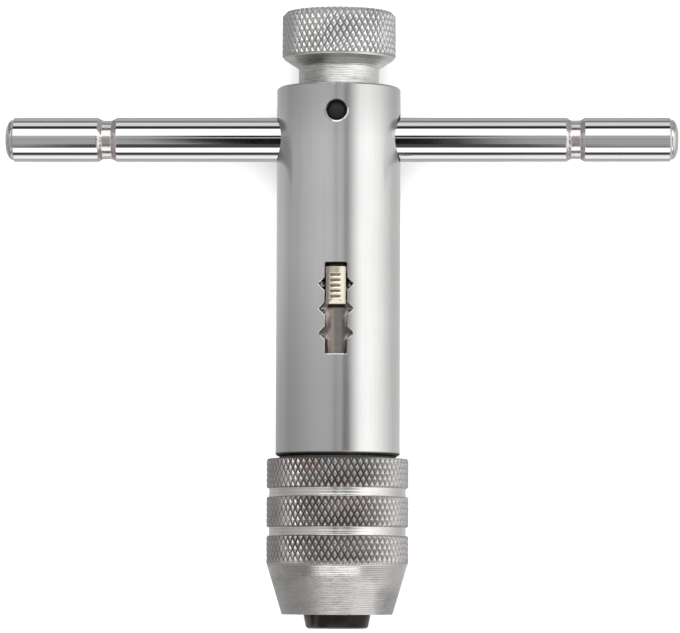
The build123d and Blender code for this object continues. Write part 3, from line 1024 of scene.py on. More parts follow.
def turned_points(
    axis: Axis, stations: np.ndarray, radii: np.ndarray, columns: int
) -> np.ndarray:
    """Points of a turned surface: station along the axis, radius times cosine and sine round it.

    Args:
        axis: Axis of the lathe.
        stations: Array of (rows,) along the axis.
        radii: Array of (rows,) or (rows, columns).
        columns: Number of points round the axis.

    Returns:
        Array of (rows, columns, 3).
    """
    angle = np.linspace(0.0, math.tau, columns, endpoint=False)
    radius = radii if radii.ndim == 2 else np.repeat(radii[:, None], columns, axis=1)
    along = np.repeat(stations[:, None], columns, axis=1)
    across, over = radius * np.cos(angle), radius * np.sin(angle)
    parts = (across, along, over) if axis is Axis.Y else (along, across, over)
    return np.stack(parts, axis=-1)


@dataclass(frozen=True)
class Coil:
    """Coil spring with closed end turns.

    Attributes:
        length: Length over both ends.
        radius: Radius to the wire's centre.
        wire: Radius of the wire.
        turns: Number of turns.
        rows_per_turn: Cross-sections of the wire in one turn.
        columns: Points round the wire.
        end_pace: Rise of the closed ends, to which the middle turns add 1.
    """

    length: float
    radius: float
    wire: float
    turns: float
    rows_per_turn: int = 26
    columns: int = 10
    end_pace: float = 0.12

    def skin(self, start: Sequence[float], along: Sequence[float]) -> Skin:
        """The wire's surface.

        The wire's centre goes round a circle of the coil's radius while it rises along the
        axis; its rise slows to nearly nothing over the first and last turn. The wire's own
        circle lies in the plane of the outward direction and the axis.

        Args:
            start: Centre of the spring's first end.
            along: Direction of the spring's axis.

        Returns:
            The surface, with its rows along the wire.
        """
        axis = np.asarray(along, float) / np.linalg.norm(along)
        side = np.cross(axis, (1.0, 0.0, 0.0) if abs(axis[0]) < 0.9 else (0.0, 1.0, 0.0))
        side /= np.linalg.norm(side)
        other = np.cross(axis, side)
        turn = np.linspace(0.0, self.turns, int(self.turns * self.rows_per_turn))
        pace = self.end_pace + np.clip(turn, 0, 1) * np.clip(self.turns - turn, 0, 1)
        rise = np.concatenate([[0.0], np.cumsum((pace[1:] + pace[:-1]) / 2)])
        rise = self.wire + rise / rise[-1] * (self.length - 2 * self.wire)
        angle = turn * math.tau
        out = np.cos(angle)[:, None] * side + np.sin(angle)[:, None] * other
        centre = np.asarray(start, float) + rise[:, None] * axis + self.radius * out
        ring = np.linspace(0.0, math.tau, self.columns, endpoint=False)[None, :, None]
        points = (centre[:, None, :] + self.wire * np.cos(ring) * out[:, None, :]
                  + self.wire * np.sin(ring) * axis)
        return Skin(points, looped=False)


@dataclass(frozen=True)
class Knurl:
    """Diamond knurl as two families of V grooves that wind opposite ways round a cylinder.

    Attributes:
        crest: Radius at the crests.
        depth: Depth of the grooves.
        count: Grooves of one family round the cylinder.
        period: Length of one diamond along the axis.
        origin: Station where the two families cross.
        flat: Height share at which the crests are flattened.
        steps: Rows of points in one diamond, and columns in one groove.
    """

    crest: float
    depth: float
    count: int
    period: float
    origin: float
    flat: float
    steps: int = 8

    @property
    def columns(self) -> int:
        """Number of points round the cylinder."""
        return self.count * self.steps

    def stations(self, start: float, end: float) -> np.ndarray:
        """Stations between start and end on the knurl's own lattice.

        Args:
            start: First station.
            end: Last station.

        Returns:
            Array of (rows,), with start and end.
        """
        step = self.period / self.steps
        first = math.ceil((start - self.origin) / step)
        last = math.floor((end - self.origin) / step)
        inner = self.origin + np.arange(first, last + 1) * step
        inner = inner[(inner > start + step / 4) & (inner < end - step / 4)]
        return np.concatenate([[start], inner, [end]])

    def radii(self, stations: np.ndarray) -> np.ndarray:
        """Radius at each station and column.

        Each family's profile is a triangle wave of the turn times the count, plus or minus
        the station over the period: 0 on a groove, 1 half way between two. The lower of the
        two is the diamond's height, flattened at its crest. A slow wave round the cylinder
        makes the pressing a little uneven.

        Args:
            stations: Array of (rows,).

        Returns:
            Array of (rows, columns).
        """
        turn = np.arange(self.columns) / self.columns
        around = turn[None, :] * self.count
        along = ((stations - self.origin) / self.period)[:, None]
        one = 1 - np.abs(2 * np.mod(around + along, 1.0) - 1)
        two = 1 - np.abs(2 * np.mod(around - along, 1.0) - 1)
        height = np.minimum(np.minimum(one, two), self.flat) / self.flat
        press = 0.9 + 0.1 * np.sin(3 * math.tau * turn[None, :] + along * 1.7)
        return self.crest - self.depth * press * (1 - height)


# Pieces


@dataclass
class Workshop:
    """The loaded frame, with the ways in which a piece is added over it."""

    frame: Frame
    count: int = 0

    def dress_node(self, node: str, finish: Finish) -> None:
        """Gives a CAD node that stays its finish.

        Args:
            node: The CAD node.
            finish: Its finish.
        """
        slots = self.frame["nodes"][node].data.materials
        slots.clear()
        slots.append(finish.material())

    def add(
        self,
        piece: bpy.types.Object,
        body: str,
        slot: str,
        finishes: Iterable[Finish],
        nodes: Sequence[str],
    ) -> None:
        """Dresses a piece, seats it on its body and lets it stand for its CAD nodes.

        Args:
            piece: The finished object.
            body: CAD body that it rides on.
            slot: The record's material slot; not used.
            finishes: Finishes in the order of the faces' material numbers.
            nodes: CAD nodes that it replaces.
        """
        slots = piece.data.materials
        # Slots are overwritten, because clearing them would reset the faces' material numbers
        for index, finish in enumerate(finishes):
            if index < len(slots):
                slots[index] = finish.material()
            else:
                slots.append(finish.material())
        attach(piece, body)
        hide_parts(*nodes)
        self.count += 1
        LOG.info("piece %s: %d faces on %s", piece.name, len(piece.data.polygons), body)

    def cover(
        self, node: str, name: str, body: str, slot: str, finish: Finish, **shape: Any
    ) -> None:
        """Puts a smooth copy of a CAD node in that node's place.

        Args:
            node: CAD node that is copied and replaced.
            name: Name of the piece.
            body: CAD body that it rides on.
            slot: The record's material slot.
            finish: Its finish.
            **shape: Crease angle and cut, as smooth_copy takes them.
        """
        self.add(self.smooth_copy(node, name, **shape), body, slot, [finish], [node])

    def wind(self, name: str, skin: Skin, body: str, node: str) -> None:
        """Adds a coil spring of bare wire.

        Args:
            name: Name of the piece.
            skin: The spring's surface.
            body: CAD body that it rides on.
            node: CAD node that it replaces.
        """
        self.add(self.skin(name, skin, 60.0), body, "spring_steel", [SPRING_WIRE], [node])

    def skin(
        self, name: str, skin: Skin, crease: float = 32.0, flat: np.ndarray | None = None
    ) -> bpy.types.Object:
        """Makes the object of a skin, with sharp edges where faces meet at an angle.

        Args:
            name: Name of the piece.
            skin: Its surface.
            crease: Angle above which an edge stays sharp, in degrees.
            flat: Flags of the cells' faces that are shaded flat.

        Returns:
            The object.
        """
        cells, fans = skin.face_sets()
        sets = [cells] if fans is None else [cells, fans]
        smooth = np.ones(sum(len(faces) for faces in sets), dtype=bool)
        if flat is not None:
            smooth[: len(cells)] = ~flat
        made = mesh_object(name, skin.vertices(), sets, smooth)
        made.data.set_sharp_from_angle(angle=math.radians(crease))
        return made

    def smooth_copy(
        self,
        node: str,
        name: str,
        crease: float = 28.0,
        below: float | None = None,
        up: tuple[int, int, int] = (0, 1, 0),
    ) -> bpy.types.Object:
        """A merged copy of a CAD node whose turned faces shade as true turned faces.

        The copy's points are merged and its edges above the crease angle stay sharp. On faces
        that are turned about the tool axis the normals lose their part round the axis.

        Args:
            node: CAD node that is copied.
            name: Name of the copy.
            crease: Angle above which an edge stays sharp, in degrees.
            below: Height above which the copy is cut off, or None for the whole node.
            up: Direction in which that height is measured.

        Returns:
            The copy.
        """
        mesh = self.frame["nodes"][node].data.copy()
        mesh.name = name
        shell = bmesh.new()
        shell.from_mesh(mesh)
        bmesh.ops.remove_doubles(shell, verts=shell.verts, dist=MERGE_DISTANCE)
        if below is not None:
            everything = [*shell.verts, *shell.edges, *shell.faces]
            cut = bmesh.ops.bisect_plane(
                shell, geom=everything, dist=CUT_TOLERANCE, plane_no=up, clear_outer=True,
                plane_co=Vector(up) * below * MM,
            )
            rim = [e for e in cut["geom_cut"] if isinstance(e, bmesh.types.BMEdge)]
            bmesh.ops.holes_fill(shell, edges=rim)
        shell.to_mesh(mesh)
        shell.free()
        mesh.polygons.foreach_set("use_smooth", np.ones(len(mesh.polygons), dtype=bool))
        mesh.set_sharp_from_angle(angle=math.radians(crease))
        self._true_normals(mesh)
        return linked(name, mesh)

    @staticmethod
    def _true_normals(mesh: bpy.types.Mesh) -> None:
        """Sets the corner normals of faces turned about the tool axis to exact ones.

        A face whose corners lie at one radius, and not at one station, belongs to a barrel
        or a bore: its normals point straight away from the axis, or straight at it. Of the
        other normals, those that hardly lean round the axis lose that lean.

        Args:
            mesh: The mesh, with the CAD node's coordinates in metres.
        """
        count = len(mesh.loops)
        normal = column(mesh.corner_normals, "vector", 3).astype(float)
        index = column(mesh.loops, "vertex_index", kind=np.int32)
        place = column(mesh.vertices, "co", 3)[index].astype(float)
        radius = np.hypot(place[:, 0], place[:, 2])
        safe = np.maximum(radius, 1e-9)
        out = np.stack([place[:, 0] / safe, np.zeros(count), place[:, 2] / safe], -1)
        round_axis = np.stack([-out[:, 2], np.zeros(count), out[:, 0]], -1)
        swirl = np.einsum("ij,ij->i", normal, round_axis)
        turned = (np.abs(swirl) < SWIRL_LIMIT) & (radius > AXIS_RADIUS)
        normal -= np.where(turned, swirl, 0.0)[:, None] * round_axis
        straight = turned & (np.abs(normal[:, 1]) < SLOPE_LIMIT)
        normal[:, 1] = np.where(straight, 0.0, normal[:, 1])
        starts = column(mesh.polygons, "loop_start", kind=np.int32)
        sizes = np.diff(np.append(starts, count))
        facing = column(mesh.polygons, "normal", 3)
        area = column(mesh.polygons, "area")
        spread = np.maximum.reduceat(radius, starts) - np.minimum.reduceat(radius, starts)
        length = (np.maximum.reduceat(place[:, 1], starts)
                  - np.minimum.reduceat(place[:, 1], starts))
        middle = np.add.reduceat(radius, starts) / sizes
        barrel = ((spread < BARREL_SPREAD) & (length > BARREL_LENGTH)
                  & (middle > BARREL_RADIUS))
        outward = np.einsum("ij,ij->i", facing, np.add.reduceat(out, starts, axis=0)) * area
        _, group = np.unique(np.round(middle / RADIUS_STEP), return_inverse=True)
        sign = np.sign(np.bincount(group, weights=outward * barrel))[group]
        on_barrel = np.repeat(barrel, sizes)
        normal = np.where(on_barrel[:, None], out * np.repeat(sign, sizes)[:, None], normal)
        normal /= np.linalg.norm(normal, axis=1, keepdims=True)
        mesh.normals_split_custom_set(normal.astype(np.float32))


@dataclass(frozen=True)
class BodyTube:
    """Ground and plated body tube with the selector window, bar hole and pin."""

    finish: SatinNickel = SatinNickel()
    pin_finish: DarkSeal = DarkSeal(
        "blackened_pin", (0.012, 0.0115, 0.012), (0.03, 0.028, 0.027), 0.2, 0.12
    )

    def build(self, shop: Workshop) -> None:
        """Adds the tube and the cross pin.

        Args:
            shop: Where the pieces are made.
        """
        shop.cover("housing", "body_tube", "body", "satin_nickel_body", self.finish)
        shop.cover("head_pin", "knob_cross_pin", "body", "black_pin", self.pin_finish)


@dataclass(frozen=True)
class HeadKnob:
    """Knurled knob on its neck and shank, with the ball and spring that hold the bar.

    Attributes:
        cut: Station where the grip ends and the smooth copy of the CAD node goes on.
        neck_top: Station where the neck's bevel begins.
        neck_radius: Radius of the neck.
        edge: Station of the grip's lower edge.
        top: Station of the knob's upper end.
        radius: Radius of the grip.
        chamfer: Width of the bevel at the upper end.
        knurl: The knurl of the grip.
        lip: Width of the smooth rim under the knurl.
        lip_rows: Rows that round this rim, along the axis and outwards.
        edge_rows: Rows above the lower edge that keep it smooth.
        knurl_guard: How far above the lower edge the rows and the cuts of the knurl begin.
        top_inset: How far the last row lies inside the bevel's inner edge.
        spring: The spring behind the ball.
        spring_from: Centre of that spring's lower end.
    """

    cut: float = 91.5
    neck_top: float = 90.5
    neck_radius: float = 6.5
    edge: float = 92.2
    top: float = 99.6
    radius: float = 9.2
    chamfer: float = 0.65
    knurl: Knurl = Knurl(crest=9.2, depth=0.28, count=54, period=1.82, origin=92.4, flat=0.58)
    lip: float = 0.06
    lip_rows: tuple[tuple[float, float], ...] = ((-0.05, -0.16), (0.02, -0.04))
    edge_rows: tuple[float, ...] = (0.02, 0.15)
    knurl_guard: tuple[float, float] = (0.2, 0.18)
    top_inset: float = 1.2
    spring: Coil = Coil(length=4.38, radius=1.7, wire=0.22, turns=6.5)
    spring_from: Triple = (0.0, 86.72, 0.0)

    def build(self, shop: Workshop) -> None:
        """Adds the knurled grip, the neck with its shank, and the coil spring.

        Args:
            shop: Where the pieces are made.
        """
        # The knob's knurl has a painted highlight on a strip at the left, painted light on its
        # right side and painted shade on its flanks
        knurled = KnurledNickel(
            "knob_knurl", (0.72, 0.715, 0.71), self.knurl.crest, self.knurl.depth, grime=0.8,
            rust=0.12, reach=(0.35, 0.95), side_lightening=(0.0, 0.3), glint_strip=(-6.9, -3.6),
            glint_tint=0.8, chamfer_from=self.top - self.chamfer, flank_light=0.76,
            grime_colour=(0.10, 0.096, 0.094),
        )
        turned = TurnedNickel("knob_turned", ring_height=60.0, stain=0.25)
        # The neck has painted shade in streaks on its left
        polished = TurnedNickel(
            "neck_turned", (0.77, 0.765, 0.75), ring_height=95.0, stain=0.2, streaked_shade=(0.75, 0.0)
        )
        ball = BareSteel(
            "ball_steel", (0.56, 0.56, 0.56), film=0.15, roughness=0.08, grain_height=1.0
        )
        shop.add(self.grip(shop), "body", "nickel_knob", [turned, knurled], ["head_knob"])
        shop.cover(
            "head_knob", "knob_neck_and_shank", "body", "nickel_knob", polished, below=self.cut
        )
        coil = self.spring.skin(self.spring_from, (0.0, 1.0, 0.0))
        shop.wind("bar_detent_coil", coil, "body", "bar_detent_spring")
        shop.dress_node("bar_detent_ball", ball)

    def grip(self, shop: Workshop) -> bpy.types.Object:
        """The knurled head above the neck's bevel.

        The profile climbs the bevel, steps out at a smooth rim, runs up the knurled cylinder
        and closes over the chamfer. The knurl is cut into it up to the top edge.

        Args:
            shop: Where the piece is made.

        Returns:
            The grip's object, with material 0 on turned faces and 1 on knurled ones.
        """
        slope = (self.radius - self.neck_radius) / (self.edge - self.neck_top)
        floor = self.radius - self.knurl.depth
        rim = self.neck_top + (floor - self.lip - self.neck_radius) / slope
        bevel = self.top - self.chamfer
        below_knurl, knurl_from = (self.edge + guard for guard in self.knurl_guard)
        rows = self.knurl.stations(below_knurl, bevel)
        over = self.knurl.stations(bevel, self.top)[1:]
        foot = np.array([
            (self.cut, self.neck_radius + (self.cut - self.neck_top) * slope),
            *((rim + along, floor + out) for along, out in self.lip_rows),
            *((self.edge + along, floor) for along in self.edge_rows),
        ])
        stations = np.concatenate([foot[:, 0], rows, over, [self.top]])
        envelope = np.concatenate([
            foot[:, 1], np.full(len(rows), self.radius), self.radius - (over - bevel),
            [self.radius - self.chamfer - self.top_inset],
        ])
        plain = np.repeat(envelope[:, None], self.knurl.columns, axis=1)
        sunk = self.knurl.crest - self.knurl.radii(stations)
        cut = (stations > knurl_from) & (stations < self.top)
        radii = np.where(cut[:, None], plain - sunk, plain)
        return knurled_object(shop, "knob_grip", stations, plain, radii, False)


def knurled_object(
    shop: Workshop,
    name: str,
    stations: np.ndarray,
    plain: np.ndarray,
    radii: np.ndarray,
    looped: bool,
) -> bpy.types.Object:
    """A turned piece with a knurl cut into its outside.

    Args:
        shop: Where the piece is made.
        name: Name of the piece.
        stations: Array of (rows,) along the tool axis.
        plain: Array of (rows, columns), the radii without the knurl.
        radii: Array of (rows, columns), the radii with it.
        looped: True where the profile is a closed loop.

    Returns:
        The object, with material 0 on plain faces and 1 on knurled ones.
    """
    columns = radii.shape[1]
    skin = Skin(turned_points(Axis.Y, stations, radii, columns), looped, radii)
    cells, fans = skin.face_sets()
    pressed = (plain - radii).ravel() > PRESSED_DEPTH
    touched = pressed[cells].any(axis=1)
    made = shop.skin(name, skin, flat=touched)
    numbers = np.zeros(len(made.data.polygons), np.int32)
    numbers[: len(cells)] = touched
    made.data.polygons.foreach_set("material_index", numbers)
    return made


@dataclass(frozen=True)
class CrossBar:
    """Polished sliding bar with crowned ends and a stop groove near each end.

    Attributes:
        centre: Station across of the bar's middle.
        station: Station of its axis along the tool.
        groove_from_centre: Distance of each groove from the bar's middle.
        crown_edge: Width of the edge between the cylinder and the crown.
        crown_flat: Radius of the crown's flat end.
        guard: Distance of the extra rows from each shoulder.
        inner_end: Distance of the innermost rows from the bar's middle.
    """

    centre: float = 0.4
    station: float = 78.98
    radius: float = 3.58
    length: float = 109.0
    groove_from_centre: float = 37.9
    groove_half_width: float = 1.65
    groove_floor_half: float = 0.6
    groove_depth: float = 0.45
    crown_length: float = 1.15
    crown_edge: float = 0.3
    crown_flat: float = 0.9
    guard: float = 0.04
    columns: int = 160
    crown_rows: int = 12
    groove_rows: int = 37
    inner_end: float = 8.0

    def build(self, shop: Workshop) -> None:
        """Adds the bar, turned about its own length.

        Args:
            shop: Where the piece is made.
        """
        stations, radii = self.outline()
        points = turned_points(Axis.X, stations, radii, self.columns)
        points = points + np.array([self.centre, self.station, 0.0])
        bar = shop.skin("cross_bar", Skin(points, looped=False), 20.0)
        finish = BrightChrome(
            grooves=(self.centre - self.groove_from_centre, self.centre + self.groove_from_centre)
        )
        shop.add(bar, "bar", "bright_chrome_bar", [finish], ["tee_bar"])

    def outline(self) -> tuple[np.ndarray, np.ndarray]:
        """Half outline of the bar from end to end.

        The crown is a quarter of an ellipse-like curve from the flat end out to the edge, and
        each groove sinks by a smooth step from its shoulder to its floor and back. A guard
        row close to each shoulder keeps the shading of the long cylinder straight.

        Returns:
            Stations and radii, left to right.
        """
        half = self.length / 2
        edge = half - self.crown_length
        curve = np.linspace(0.0, math.pi / 2, self.crown_rows)
        crown_s = half - self.crown_length * (1 - np.sin(math.pi / 2 - curve))
        crown = self.radius - self.crown_edge - self.crown_flat
        crown_r = self.crown_flat + crown * np.sin(curve)
        width = self.groove_half_width
        across = np.linspace(-width, width, self.groove_rows)
        step = np.clip((width - np.abs(across)) / (width - self.groove_floor_half), 0, 1)
        sunk = self.radius - self.groove_depth * step**2 * (3 - 2 * step)
        groove = self.groove_from_centre + across
        shoulder = edge - self.crown_edge
        right_s = np.concatenate([
            [self.inner_end, groove[0] - self.guard], groove,
            [groove[-1] + self.guard, shoulder - self.guard, shoulder], crown_s[::-1],
        ])
        right_r = np.concatenate([[self.radius] * 2, sunk, [self.radius] * 3, crown_r[::-1]])
        return np.concatenate([-right_s[::-1], right_s]), np.concatenate([right_r[::-1], right_r])


@dataclass(frozen=True)
class Selector:
    """Selector button on its curved slide, with the spring clip, pawl and pawl springs.

    Attributes:
        stems: Stations of the pawl's two stems, each with a spring round it.
        spring_low: Height of the springs' lower ends.
        spring: One of these springs.
        cap_ends: Stations of the cap's two ends.
        cap_half: Half of its width, in the middle.
        cap_swell: How much narrower each side is at the ends.
        cap_floor: Height at which the cap sits on the smooth copy of the CAD node.
        cap_grid: Sections along the cap, and points across its crown.
        crown: Height of the centre of the crown's circle, and its radius.
        bevels: Length and drop of the sloping plane at each end.
        groove_centre: Station of the middle groove.
        groove_power: Power of a groove's raised cosine; above 1 it narrows the groove.
        groove_span: Where the grooves end, across.
        groove_fade: Length over which they come in.
    """

    stems: tuple[float, float] = (52.77, 56.57)
    spring_low: float = 8.92
    spring: Coil = Coil(length=0.66, radius=0.68, wire=0.08, turns=2.6)
    cap_ends: tuple[float, float] = (51.68, 57.64)
    cap_half: float = 1.58
    cap_swell: float = 0.07
    cap_floor: float = 9.75
    cap_grid: tuple[int, int] = (150, 45)
    crown: tuple[float, float] = (9.028, 1.872)
    bevels: tuple[tuple[float, float], tuple[float, float]] = ((0.8, 0.46), (0.2, 0.2))
    groove_centre: float = 54.57
    groove_pitch: float = 0.867
    groove_depth: float = 0.15
    groove_count: int = 5
    groove_power: float = 1.3
    groove_span: tuple[float, float] = (-1.0, 0.78)
    groove_fade: float = 0.15

    def build(self, shop: Workshop) -> None:
        """Adds the button, slide, clip and springs, and dresses the pawl behind them.

        Args:
            shop: Where the pieces are made.
        """
        brass = ButtonBrass()
        shop.cover(
            "selector_button", "selector_button_foot", "selector", "brass_button", brass,
            crease=24.0, below=self.cap_floor, up=(0, 0, 1),
        )
        cap = shop.skin("selector_button_cap", Skin(self.cap_points(), looped=False), 22.0)
        shop.add(cap, "selector", "brass_button", [brass], ["selector_button"])
        shop.cover(
            "selector_slide", "selector_slide_plate", "selector", "bare_steel_slide", SlideSteel()
        )
        shop.cover(
            "selector_detent_clip", "selector_clip_spring", "selector", "spring_steel", CLIP_STEEL
        )
        for index, stem in enumerate(self.stems, 1):
            coil = self.spring.skin((0.0, stem, self.spring_low), (0.0, 0.0, 1.0))
            shop.wind(f"pawl_spring_{index}", coil, "selector", "pawl_springs")
        shop.dress_node("pawl", BareSteel("oiled_pawl", (0.07, 0.062, 0.058), film=0.1))

    def cap_points(self) -> np.ndarray:
        """Points of the button's cap as cross-sections from its lower end to its upper end.

        Each section is a flat floor under a crown, an arc of one circle. Near both ends the
        crown is cut down by a sloping plane. Five cross grooves sink in by a raised cosine
        of the station over their pitch, with round ridges between, and fade at their ends.
        The sides swell a little towards the middle of the cap.

        Returns:
            Array of (rows, columns, 3).
        """
        low, high = self.cap_ends
        rows, columns = self.cap_grid
        y = np.linspace(low, high, rows)[:, None]
        across = np.sin(np.linspace(-math.pi / 2, math.pi / 2, columns))[None, :]
        from_middle = (y - (low + high) / 2) / ((high - low) / 2)
        half = self.cap_half - self.cap_swell * from_middle**2
        x = half * across
        top = self.crown[0] + np.sqrt(self.crown[1] ** 2 - x**2)
        peak = self.crown[0] + self.crown[1]
        for tip, (length, drop) in zip((y - low, high - y), self.bevels):
            top = np.minimum(top, peak - drop * np.clip(1 - tip / length, 0, 1))
        off = (y - self.groove_centre) / self.groove_pitch
        within = np.abs(off) < self.groove_count / 2
        sunk = (0.5 + 0.5 * np.cos(math.tau * off)) ** self.groove_power * within
        start, end = self.groove_span
        fade = (np.clip((x - start) / self.groove_fade, 0, 1)
                * np.clip((end - x) / self.groove_fade, 0, 1))
        z = top - self.groove_depth * sunk * fade
        floor_x = np.concatenate([half, half / 3, -half / 3, -half], axis=1)
        all_x = np.concatenate([x, floor_x], axis=1)
        all_z = np.concatenate([z, np.full(floor_x.shape, self.cap_floor)], axis=1)
        return np.stack([all_x, np.broadcast_to(y, all_x.shape), all_z], -1)


@dataclass(frozen=True)
class ChuckSleeve:
    """Grip sleeve: three knurled bands, two turned grooves, a plain taper, the jaws' cone.

    Attributes:
        mouth: Station of the lower end.
        mouth_radius: Radius of the taper there.
        taper_end: Station where the plain taper meets the first knurled band.
        grooves: Stations of the two ends of each groove.
        ring_height: Half of the height of the turned rings on a groove's floor.
        ring_count: Rings in each groove.
        fillet: Width of the fillet at the foot of a groove's wall.
        fillet_rise: Its height against that width.
        cone_end: Station where the inner cone ends and the bore begins.
        cone_start_radius: Radius of the cone at station 0.
        cone_slope: Radius that the cone gains along the axis.
        guard: Distance of the extra row from the mouth.
        taper_rows: Further rows on the taper.
        fade_length: Length below the taper's end that has the knurl's own rows.
        runout: Start of the knurl's runout below the taper's end, and its length.
        ground_depth: Depth from which a face in a groove has the groove's finish.
        ring_rows: Rows in one ring of a groove's floor.
    """

    mouth: float = 2.25
    mouth_radius: float = 8.92
    taper_end: float = 10.6
    top: float = 27.24
    radius: float = 11.42
    grooves: tuple[tuple[float, float], ...] = ((14.87, 16.27), (21.13, 22.53))
    groove_radius: float = 10.99
    ring_height: float = 0.011
    ring_count: int = 3
    fillet: float = 0.16
    chamfer: float = 0.2
    bore_radius: float = 8.0
    cone_end: float = 13.0
    cone_start_radius: float = 5.07
    cone_slope: float = 0.19438
    mouth_chamfer: float = 0.25
    guard: float = 0.05
    knurl: Knurl = Knurl(crest=11.42, depth=0.27, count=68, period=1.84, origin=12.7, flat=0.66)
    runout: tuple[float, float] = (0.45, 0.8)
    ground_depth: float = 0.3
    taper_rows: tuple[float, float] = (5.5, 8.0)
    fade_length: float = 1.05
    ring_rows: int = 16
    fillet_rise: float = 0.4

    def build(self, shop: Workshop) -> None:
        """Adds the sleeve and the dust washer on top of it.

        Args:
            shop: Where the pieces are made.
        """
        stations, envelope, outside = self.outline()
        plain = np.repeat(envelope[:, None], self.knurl.columns, axis=1)
        before, over = self.runout
        runout = np.clip((stations - self.taper_end + before) / over, 0.0, 1.0)[:, None]
        sunk = (self.radius - self.knurl.radii(stations)) * runout
        radii = np.minimum(plain, self.radius - sunk)
        radii[outside:] = plain[outside:]
        sleeve = knurled_object(shop, "chuck_grip_sleeve", stations, plain, radii, True)
        # The taper has painted shade in streaks at its left and its lower right
        turned = TurnedNickel(
            "sleeve_turned", (0.58, 0.57, 0.56), ring_height=78.0, stain=0.4,
            facet=(7.6, 10.0, 460.0), streaked_shade=(0.35, 0.75),
        )
        # The sleeve's knurl has a painted highlight on a strip at the left, and painted light on
        # both sides and on its flanks
        knurled = KnurledNickel(
            "sleeve_knurl", (0.335, 0.327, 0.318), self.knurl.crest, self.knurl.depth,
            side_lightening=(0.3, 0.7), flank_light=1.38,
        )
        ground = TurnedNickel(
            "groove_turned", (0.66, 0.65, 0.64), 0.14, ring_height=6.0, stain=0.15
        )
        self.mark_grooves(sleeve.data)
        shop.add(sleeve, "sleeve", "nickel_sleeve", [turned, knurled, ground], ["chuck_sleeve"])
        # The washer is a real part; its near-black without gloss also paints the shade in the gap
        # under the tube
        washer_gap_shade = DarkSeal("dark_washer", (0.001,) * 3, (0.004,) * 3, specular=0.0)
        shop.cover("sleeve_washer", "sleeve_dust_washer", "washer", "dark_washer", washer_gap_shade)

    def mark_grooves(self, mesh: bpy.types.Mesh) -> None:
        """Gives the faces in the two turned grooves material 2.

        Args:
            mesh: The sleeve's mesh.
        """
        numbers = column(mesh.polygons, "material_index", kind=np.int32)
        middle = (column(mesh.polygons, "center", 3) * PER_METRE).astype(float)
        deep = np.hypot(middle[:, 0], middle[:, 2]) < self.radius - self.ground_depth
        for low, high in self.grooves:
            numbers[deep & (middle[:, 1] > low) & (middle[:, 1] < high)] = 2
        mesh.polygons.foreach_set("material_index", numbers)

    def outline(self) -> tuple[np.ndarray, np.ndarray, int]:
        """Closed outline of the sleeve's wall, up the outside and down the inside.

        The taper is a straight line from the mouth to the first knurled band, and each band
        ends in a straight bevel. A groove's floor has turned rings, each a raised cosine of
        the way along it, and curls up by a square of the distance at the foot of its walls.
        The inside is the plain bore, a step and the jaws' cone.

        Returns:
            Stations, plain radii, and the number of rows that lie outside.
        """
        fade = self.knurl.stations(self.taper_end - self.fade_length, self.taper_end)
        foot = np.array([self.mouth, self.mouth + self.guard, *self.taper_rows])
        stations = [foot, fade]
        radii = [np.interp(part, (self.mouth, self.taper_end), (self.mouth_radius, self.radius))
                 for part in stations]
        rings = np.linspace(0.0, 1.0, self.ring_rows * self.ring_count + 1)
        edges = [self.taper_end, *(y for groove in self.grooves for y in groove), self.top]
        for start, end in zip(edges[::2], edges[1::2]):
            first = start if start == self.taper_end else start + self.chamfer
            rows = self.knurl.stations(first, end - self.chamfer)
            if start != self.taper_end:
                stations.append(np.array([start, start]))
                radii.append(np.array([self.groove_radius, self.radius - self.chamfer]))
            stations.append(rows[1:] if start == self.taper_end else rows)
            radii.append(np.full(len(stations[-1]), self.radius))
            stations.append(np.array([end]))
            radii.append(np.array([self.radius - self.chamfer]))
            if end != self.top:
                far = end + self.grooves[0][1] - self.grooves[0][0]
                stations.append((end + (far - end) * rings)[:-1])
                wave = 1 - np.cos(rings * math.tau * self.ring_count)
                wall = np.minimum(rings, 1 - rings) * (far - end)
                curl = np.clip(1 - wall / self.fillet, 0, 1) ** 2
                curl = self.fillet_rise * self.fillet * curl
                radii.append((self.groove_radius + self.ring_height * wave + curl)[:-1])
        outside = sum(len(part) for part in stations)
        inner_mouth = self.mouth + self.mouth_chamfer
        cone = self.cone_start_radius
        inner = np.array([
            (self.top, self.bore_radius),
            (self.cone_end, self.bore_radius),
            (self.cone_end, cone + self.cone_end * self.cone_slope),
            (inner_mouth, cone + inner_mouth * self.cone_slope),
            (self.mouth, cone + self.mouth * self.cone_slope + self.mouth_chamfer),
        ])
        return (np.concatenate([*stations, inner[:, 0]]), np.concatenate([*radii, inner[:, 1]]),
                outside)


@dataclass(frozen=True)
class JawsAndSpindle:
    """Two blackened jaws with their springs, and the spindle with the ratchet wheel.

    Attributes:
        spring_station: Station of the two springs along the tool.
        spring_offset: Distance of each spring from the tool's axis.
        spring: One of these springs.
    """

    spring_station: float = 10.7
    spring_offset: float = 4.7
    spring: Coil = Coil(length=4.2, radius=0.74, wire=0.12, turns=7.5)

    def build(self, shop: Workshop) -> None:
        """Adds the jaws and their springs, and dresses the drive behind them.

        Args:
            shop: Where the pieces are made.
        """
        black = BlackOxide()
        for jaw in ("jaw_a", "jaw_b"):
            shop.cover(jaw, f"{jaw}_blackened", jaw, "black_oxide_jaw", black, crease=24.0)
        tilt = math.sqrt(0.5)
        along = np.array([tilt, 0.0, tilt])
        for index, side in enumerate((-1, 1), 1):
            middle = np.array([side * self.spring_offset * tilt, self.spring_station,
                               -side * self.spring_offset * tilt])
            coil = self.spring.skin(middle - along * (self.spring.length / 2), along)
            shop.wind(f"jaw_spring_{index}", coil, "spindle", "jaw_springs")
        drive = BareSteel("hardened_steel", (0.36, 0.35, 0.345), film=0.5)
        for node in ("spindle", "ratchet_wheel", "wheel_spacer"):
            shop.dress_node(node, drive)
        shop.dress_node("spindle_clip", CLIP_STEEL)


